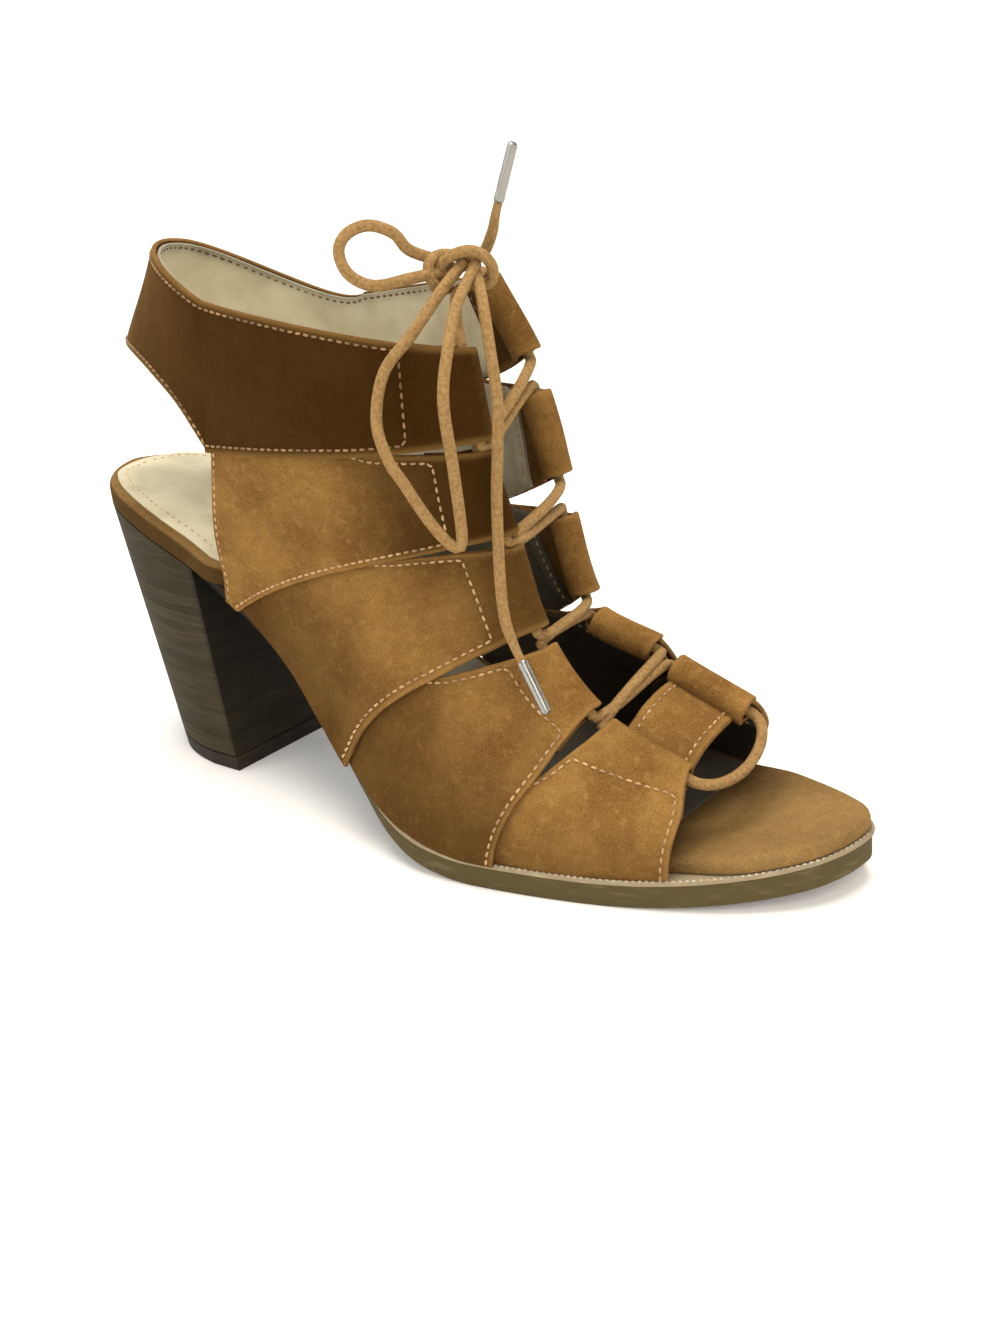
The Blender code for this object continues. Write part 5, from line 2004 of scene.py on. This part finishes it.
@dataclass(frozen=True)
class Lace:
    """One lace through all loops, tied in a bow with metal tips."""

    upper: Upper
    diameter: float = 2.6 * MM
    # what one step of the bow's tables measures
    unit: float = 3.2 * MM
    mouth_clearance: float = 1.3 * MM
    front_arc: float = 9 * MM
    front_droop: float = 1.5 * MM
    crossing_draw: float = 4 * MM
    crossing_lift: float = 0.34
    # along the length, inward / ball width, rise / instep
    knot: Spot = (0.590, -0.055, 2.53)
    # where the lace enters the knot from below: millimetres right, up and near
    tie_in: Spot = (0.5, -5.2, -3.0)
    bow_turn: float = math.radians(38)
    bow_tilt: float = math.radians(21)
    tip: float = 2.5 * MM
    tip_overlap: float = 0.3 * MM
    # how thin the lace is pressed in a tip, and over what length it thins
    thin_share: float = 0.74
    thinning: float = 10 * MM
    step: float = 1.2 * MM

    def mouth(self, strap: int, rear: bool, side: Side, turned: bool = False) -> Line:
        """Where the lace leaves a loop, and its direction there.

        Args:
            strap: strap number.
            rear: the loop's rear mouth, else its front one.
            side: side of the foot.
            turned: the lace turns across the throat there.

        Returns:
            The point and the direction.
        """
        centre, across, _, run = self.upper.loop_frame(strap, np.array([1.0 if rear else 0.0]), side)
        away = run if rear else -run
        if turned:
            clear = self.diameter / 2 + self.mouth_clearance / 2
            return centre[0] + away * clear, unit(across[0] + away * 0.6)
        return centre[0] + away * self.mouth_clearance, away

    def strand(self, start: Line, stop: Line, bend: float, rise: Array) -> Array:
        """Lace between two mouths.

        Args:
            start: point and direction at its start.
            stop: point and direction at its end.
            bend: how far it runs straight on.
            rise: how its middle is moved.

        Returns:
            Its points.
        """
        (a, leave), (b, arrive) = start, stop
        t = np.linspace(0, 1, 13)
        return bezier(a, a + leave * bend, b + arrive * bend, b, t) + np.sin(np.pi * t)[:, None] ** 2 * rise

    def through(self, strap: int, side: Side, from_rear: bool) -> Array:
        """Lace inside a loop."""
        t = np.linspace(0.92, 0.08, 6) if from_rear else np.linspace(0.08, 0.92, 6)
        return self.upper.loop_frame(strap, t, side)[0]

    def crossing(self, strap: int, over: bool) -> Array:
        """Lace across the throat from a strap pair's rear mouth to the next pair's front mouth.

        Args:
            strap: strap number from the toe.
            over: it starts on the outer side and lies over the other crossing.

        Returns:
            Its points.
        """
        one = np.ones(1)
        ahead = sum(self.upper.normal(one * (strap + 1.0), one, side)[0] for side in Side)
        lift = unit(ahead) * self.crossing_lift * self.diameter * (1 if over else -1)
        side = Side.OUTER if over else Side.INNER
        start, stop = self.mouth(strap, True, side, True), self.mouth(strap + 1, False, side.other, True)
        return self.strand(start, stop, self.crossing_draw, lift)

    def half(self, side: Side) -> Array:
        """Lace from the front arc's end to the knot, crossing at each strap pair.

        Args:
            side: side of the foot on which it starts.

        Returns:
            Its points.
        """
        parts, straps = [], self.upper.straps
        for strap in range(straps):
            parts.append(self.through(strap, side, False))
            if strap < straps - 1:
                parts.append(self.crossing(strap, side is Side.OUTER))
                side = side.other
        low = self.facing(np.array(self.tie_in))
        outward = np.array((0.0, side.value, 0.0))
        start = self.mouth(straps - 1, True, side)
        return np.concatenate((*parts, self.strand(start, (low, outward), 1.5 * self.diameter, np.zeros(3))))

    def knot_middle(self) -> Array:
        """Middle of the knot."""
        (along, inward, rise), last = self.knot, self.upper.last
        return np.array((last.along(along), last.ball_width * inward, last.instep * rise))

    def facing(self, spots: Array) -> Array:
        """Points near the knot.

        Args:
            spots: millimetres right, up and near, as one looks at the bow's face.

        Returns:
            The points.
        """
        turn, tilt = self.bow_turn, self.bow_tilt
        right = np.array((math.cos(turn), math.sin(turn), 0.0))
        near = np.array((math.sin(turn) * math.cos(tilt), -math.cos(turn) * math.cos(tilt), math.sin(tilt)))
        up = np.cross(near, right)
        spots = spots * MM
        return self.knot_middle() + spots[..., :1] * right + spots[..., 1:2] * up + spots[..., 2:] * near

    def tube(self, name: str, points: Array, *nodes: str, thin_end: bool = False) -> Piece:
        """Round lace along a line.

        Args:
            name: the piece's name.
            points: its centreline.
            nodes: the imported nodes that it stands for.
            thin_end: its last stretch narrows into the metal tip.

        Returns:
            The piece.
        """
        points = resample(points, self.step)
        curve = bpy.data.curves.new(name, "CURVE")
        curve.dimensions = "3D"
        curve.bevel_depth = self.diameter / 2
        curve.bevel_resolution = 5
        curve.use_fill_caps = True
        spline = curve.splines.new("POLY")
        spline.points.add(len(points) - 1)
        for k, (knot, point) in enumerate(zip(spline.points, points)):
            knot.co = (*point, 1.0)
            left = (len(points) - 1 - k) * self.step
            thick = self.thin_share + (1 - self.thin_share) * float(ease(left, 0.0, self.thinning))
            knot.radius = thick if thin_end else 1.0
        spline.use_smooth = True
        return place(name, curve, [CORD], Slot.LACE, *nodes)

    def metal_tip(self, name: str, start: Array, run: Array, node: str) -> Piece:
        """Rolled metal tip with a pinched waist and a rounded end.

        Args:
            name: the piece's name.
            start: where it begins on the lace.
            run: its direction.
            node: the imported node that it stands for.

        Returns:
            The piece.
        """
        side = unit(np.cross(run, UP))
        turns = 2 * np.pi / 20 * np.arange(20)[:, None]
        around = (side * np.cos(turns) + np.cross(run, side) * np.sin(turns)) * self.tip / 2
        rings = [start + run * along * MM + around * width for along, width in TIP_OUTLINE]
        return place(name, lofted(name, rings, 30.0), [TIN], Slot.AGLET, node)

    def bow_course(self, rows: BowRows, start: Spot, stop: Spot | None = None) -> Array:
        """A course of the bow from inside the knot through its table's points.

        Args:
            rows: the course's table.
            start: where it starts in the knot.
            stop: where it ends in the knot, for a loop.

        Returns:
            Its centreline.
        """
        middle = self.knot_middle()
        knots = middle + np.array(rows) * self.unit
        ends = [self.facing(np.array(start))]
        if stop:
            knots = np.concatenate((knots, [self.facing(np.array(stop))]))
        return resample(flow(np.concatenate((ends, knots))), self.step)

    def bow(self) -> None:
        """Loops and ends of the bow, each a cord of its own length."""
        loops = (
            ("small", LOOP_SMALL, (-3.4, 0.8, -0.6), (-3.2, -1.6, -0.6)),
            ("long", LOOP_LONG, (1.4, -0.6, 0.4), (4.4, -0.8, 0.4)),
        )
        for name, rows, start, stop in loops:
            points = self.bow_course(rows, start, stop)
            piece = self.tube(f"lace_bow_loop_{name}", points, f"lace_loop_{name}")
        ends = (("long", END_LONG, (4.2, -1.6, -1.6)), ("short", END_SHORT, (-1.5, 0.0, -1.5)))
        for name, rows, start in ends:
            points = self.bow_course(rows, start)
            run = unit(points[-1] - points[-2])
            base = points[-1] - run * self.tip_overlap
            tip = self.metal_tip(f"lace_tip_{name}", base, run, f"aglet_{name}")
            piece = self.tube(f"lace_bow_end_{name}", points, f"lace_end_{name}", thin_end=True)

    def build(self) -> None:
        """The bow, its knot, and the lace through the loops."""
        self.bow()
        self.tube("lace_bow_knot", flow(self.facing(np.array(KNOT_ARCH))), "lace_knot")
        self.tube("lace_bow_wrap", flow(self.facing(np.array(KNOT_WRAP))), "lace_knot")
        droop = np.array((0, 0, -self.front_droop))
        start, stop = (self.mouth(0, False, side) for side in Side)
        arc = self.strand(start, stop, self.front_arc, droop)
        whole = np.concatenate((self.half(Side.OUTER)[::-1], arc, self.half(Side.INNER)))
        keep = [0]
        for k in range(1, len(whole)):
            if np.linalg.norm(whole[k] - whole[keep[-1]]) > 0.4 * MM:
                keep.append(k)
        crossings = [f"lace_crossing_{k}" for k in range(1, self.upper.straps)]
        self.tube("lace_through_loops", flow(whole[keep], 6), "lace_front", "lace_tie", *crossings)


@dataclass(frozen=True)
class Studio:
    """Pale floor, soft light and the camera."""

    eye: Spot = (0.17902, -0.25060, 0.16584)
    right: Spot = (0.78316, 0.61483, -0.09294)
    up: Spot = (-0.15806, 0.34139, 0.92654)
    back: Spot = (0.60140, -0.71094, 0.36454)
    lens: float = 37.76
    # name, place, size, watts, colour
    lamps: tuple[tuple[str, Spot, float, float, str], ...] = (
        ("top", (-0.05, 0.05, 1.1), 0.7, 15.5, "#FFF9F0"),
        ("key", (0.65, -0.45, 0.75), 0.5, 4.5, "#FFF4E6"),
        ("fill", (-0.45, -0.85, 0.40), 0.8, 2.0, "#FFFDF8"),
    )
    # what the lamps point at
    aim: Spot = (-0.03, 0.0, 0.05)
    world: str = "#F8F8F6"
    world_strength: float = 0.30
    reach: float = 3.0
    sweep: float = 1.2
    wall: float = 0.3

    def camera(self) -> None:
        """Camera at the photo's place and turn."""
        view = bpy.data.cameras.new("camera")
        view.lens, view.sensor_width, view.clip_start = self.lens, 36.0, 0.01
        holder = bpy.data.objects.new("camera", view)
        columns = [Vector(c) for c in (self.right, self.up, self.back, self.eye)]
        holder.matrix_world = Matrix.Translation(columns[3]) @ Matrix(columns[:3]).transposed().to_4x4()
        bpy.context.scene.collection.objects.link(holder)
        bpy.context.scene.camera = holder

    def light(self) -> None:
        """Area lights and a pale sky."""
        for name, spot, size, power, colour in self.lamps:
            lamp = bpy.data.lights.new(name, "AREA")
            lamp.shape, lamp.size, lamp.energy = "SQUARE", size, power
            lamp.color = to_linear(colour)[:3]
            holder = bpy.data.objects.new(name, lamp)
            aim = Vector(self.aim) - Vector(spot)
            holder.matrix_world = Matrix.Translation(spot) @ aim.to_track_quat("-Z", "Y").to_matrix().to_4x4()
            bpy.context.scene.collection.objects.link(holder)
        world = bpy.data.worlds.new("studio")
        world.use_nodes = True
        sky = world.node_tree.nodes["Background"]
        feed(world.node_tree, sky, {"Color": self.world, "Strength": self.world_strength})
        bpy.context.scene.world = world
        bpy.context.scene.view_settings.view_transform = "Standard"

    def floor(self) -> None:
        """Sheet of paper under the shoe that curves up far behind it, the same all round."""
        profile = [(0.0, 0.0), (0.5, 0.0), (1.0, 0.0), (self.reach - self.sweep, 0.0)]
        for k in range(1, 13):
            angle = math.pi / 2 * k / 12
            out, rise = math.sin(angle), 1 - math.cos(angle)
            profile.append((self.reach - self.sweep + self.sweep * out, self.sweep * rise))
        profile.append((self.reach, self.sweep + self.wall))
        count, verts = 96, [(0.0, 0.0, 0.0)]
        for radius, height in profile[1:]:
            for k in range(count):
                angle = 2 * math.pi * k / count
                verts.append((radius * math.cos(angle), radius * math.sin(angle), height))
        faces = [(0, 1 + k, 1 + (k + 1) % count) for k in range(count)]
        mesh = mesh_of("floor", verts, faces + ring_faces(len(profile) - 1, count, 1))
        far = np.linalg.norm(np.array(verts)[:, :2], axis=1)
        # painted glow: the paper gives off light, more of it far from the shoe
        paint(mesh, "glow", 0.10 + 0.65 * ease(far, 0.5, self.reach))
        mesh.materials.append(PAPER.material())
        sheet = bpy.data.objects.new("floor", mesh)
        bpy.context.scene.collection.objects.link(sheet)


def main() -> None:
    """Builds the dressed shoe and its studio."""
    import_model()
    studio, last = Studio(), Last()
    studio.camera()
    upper = Upper(last)
    for part in (Lace(upper), upper, Sole(last), Heel(last)):
        LOG.info("building %s", type(part).__name__)
        part.build()
    studio.light()
    studio.floor()
    bpy.context.view_layer.update()


if __name__ == "__main__":
    main()
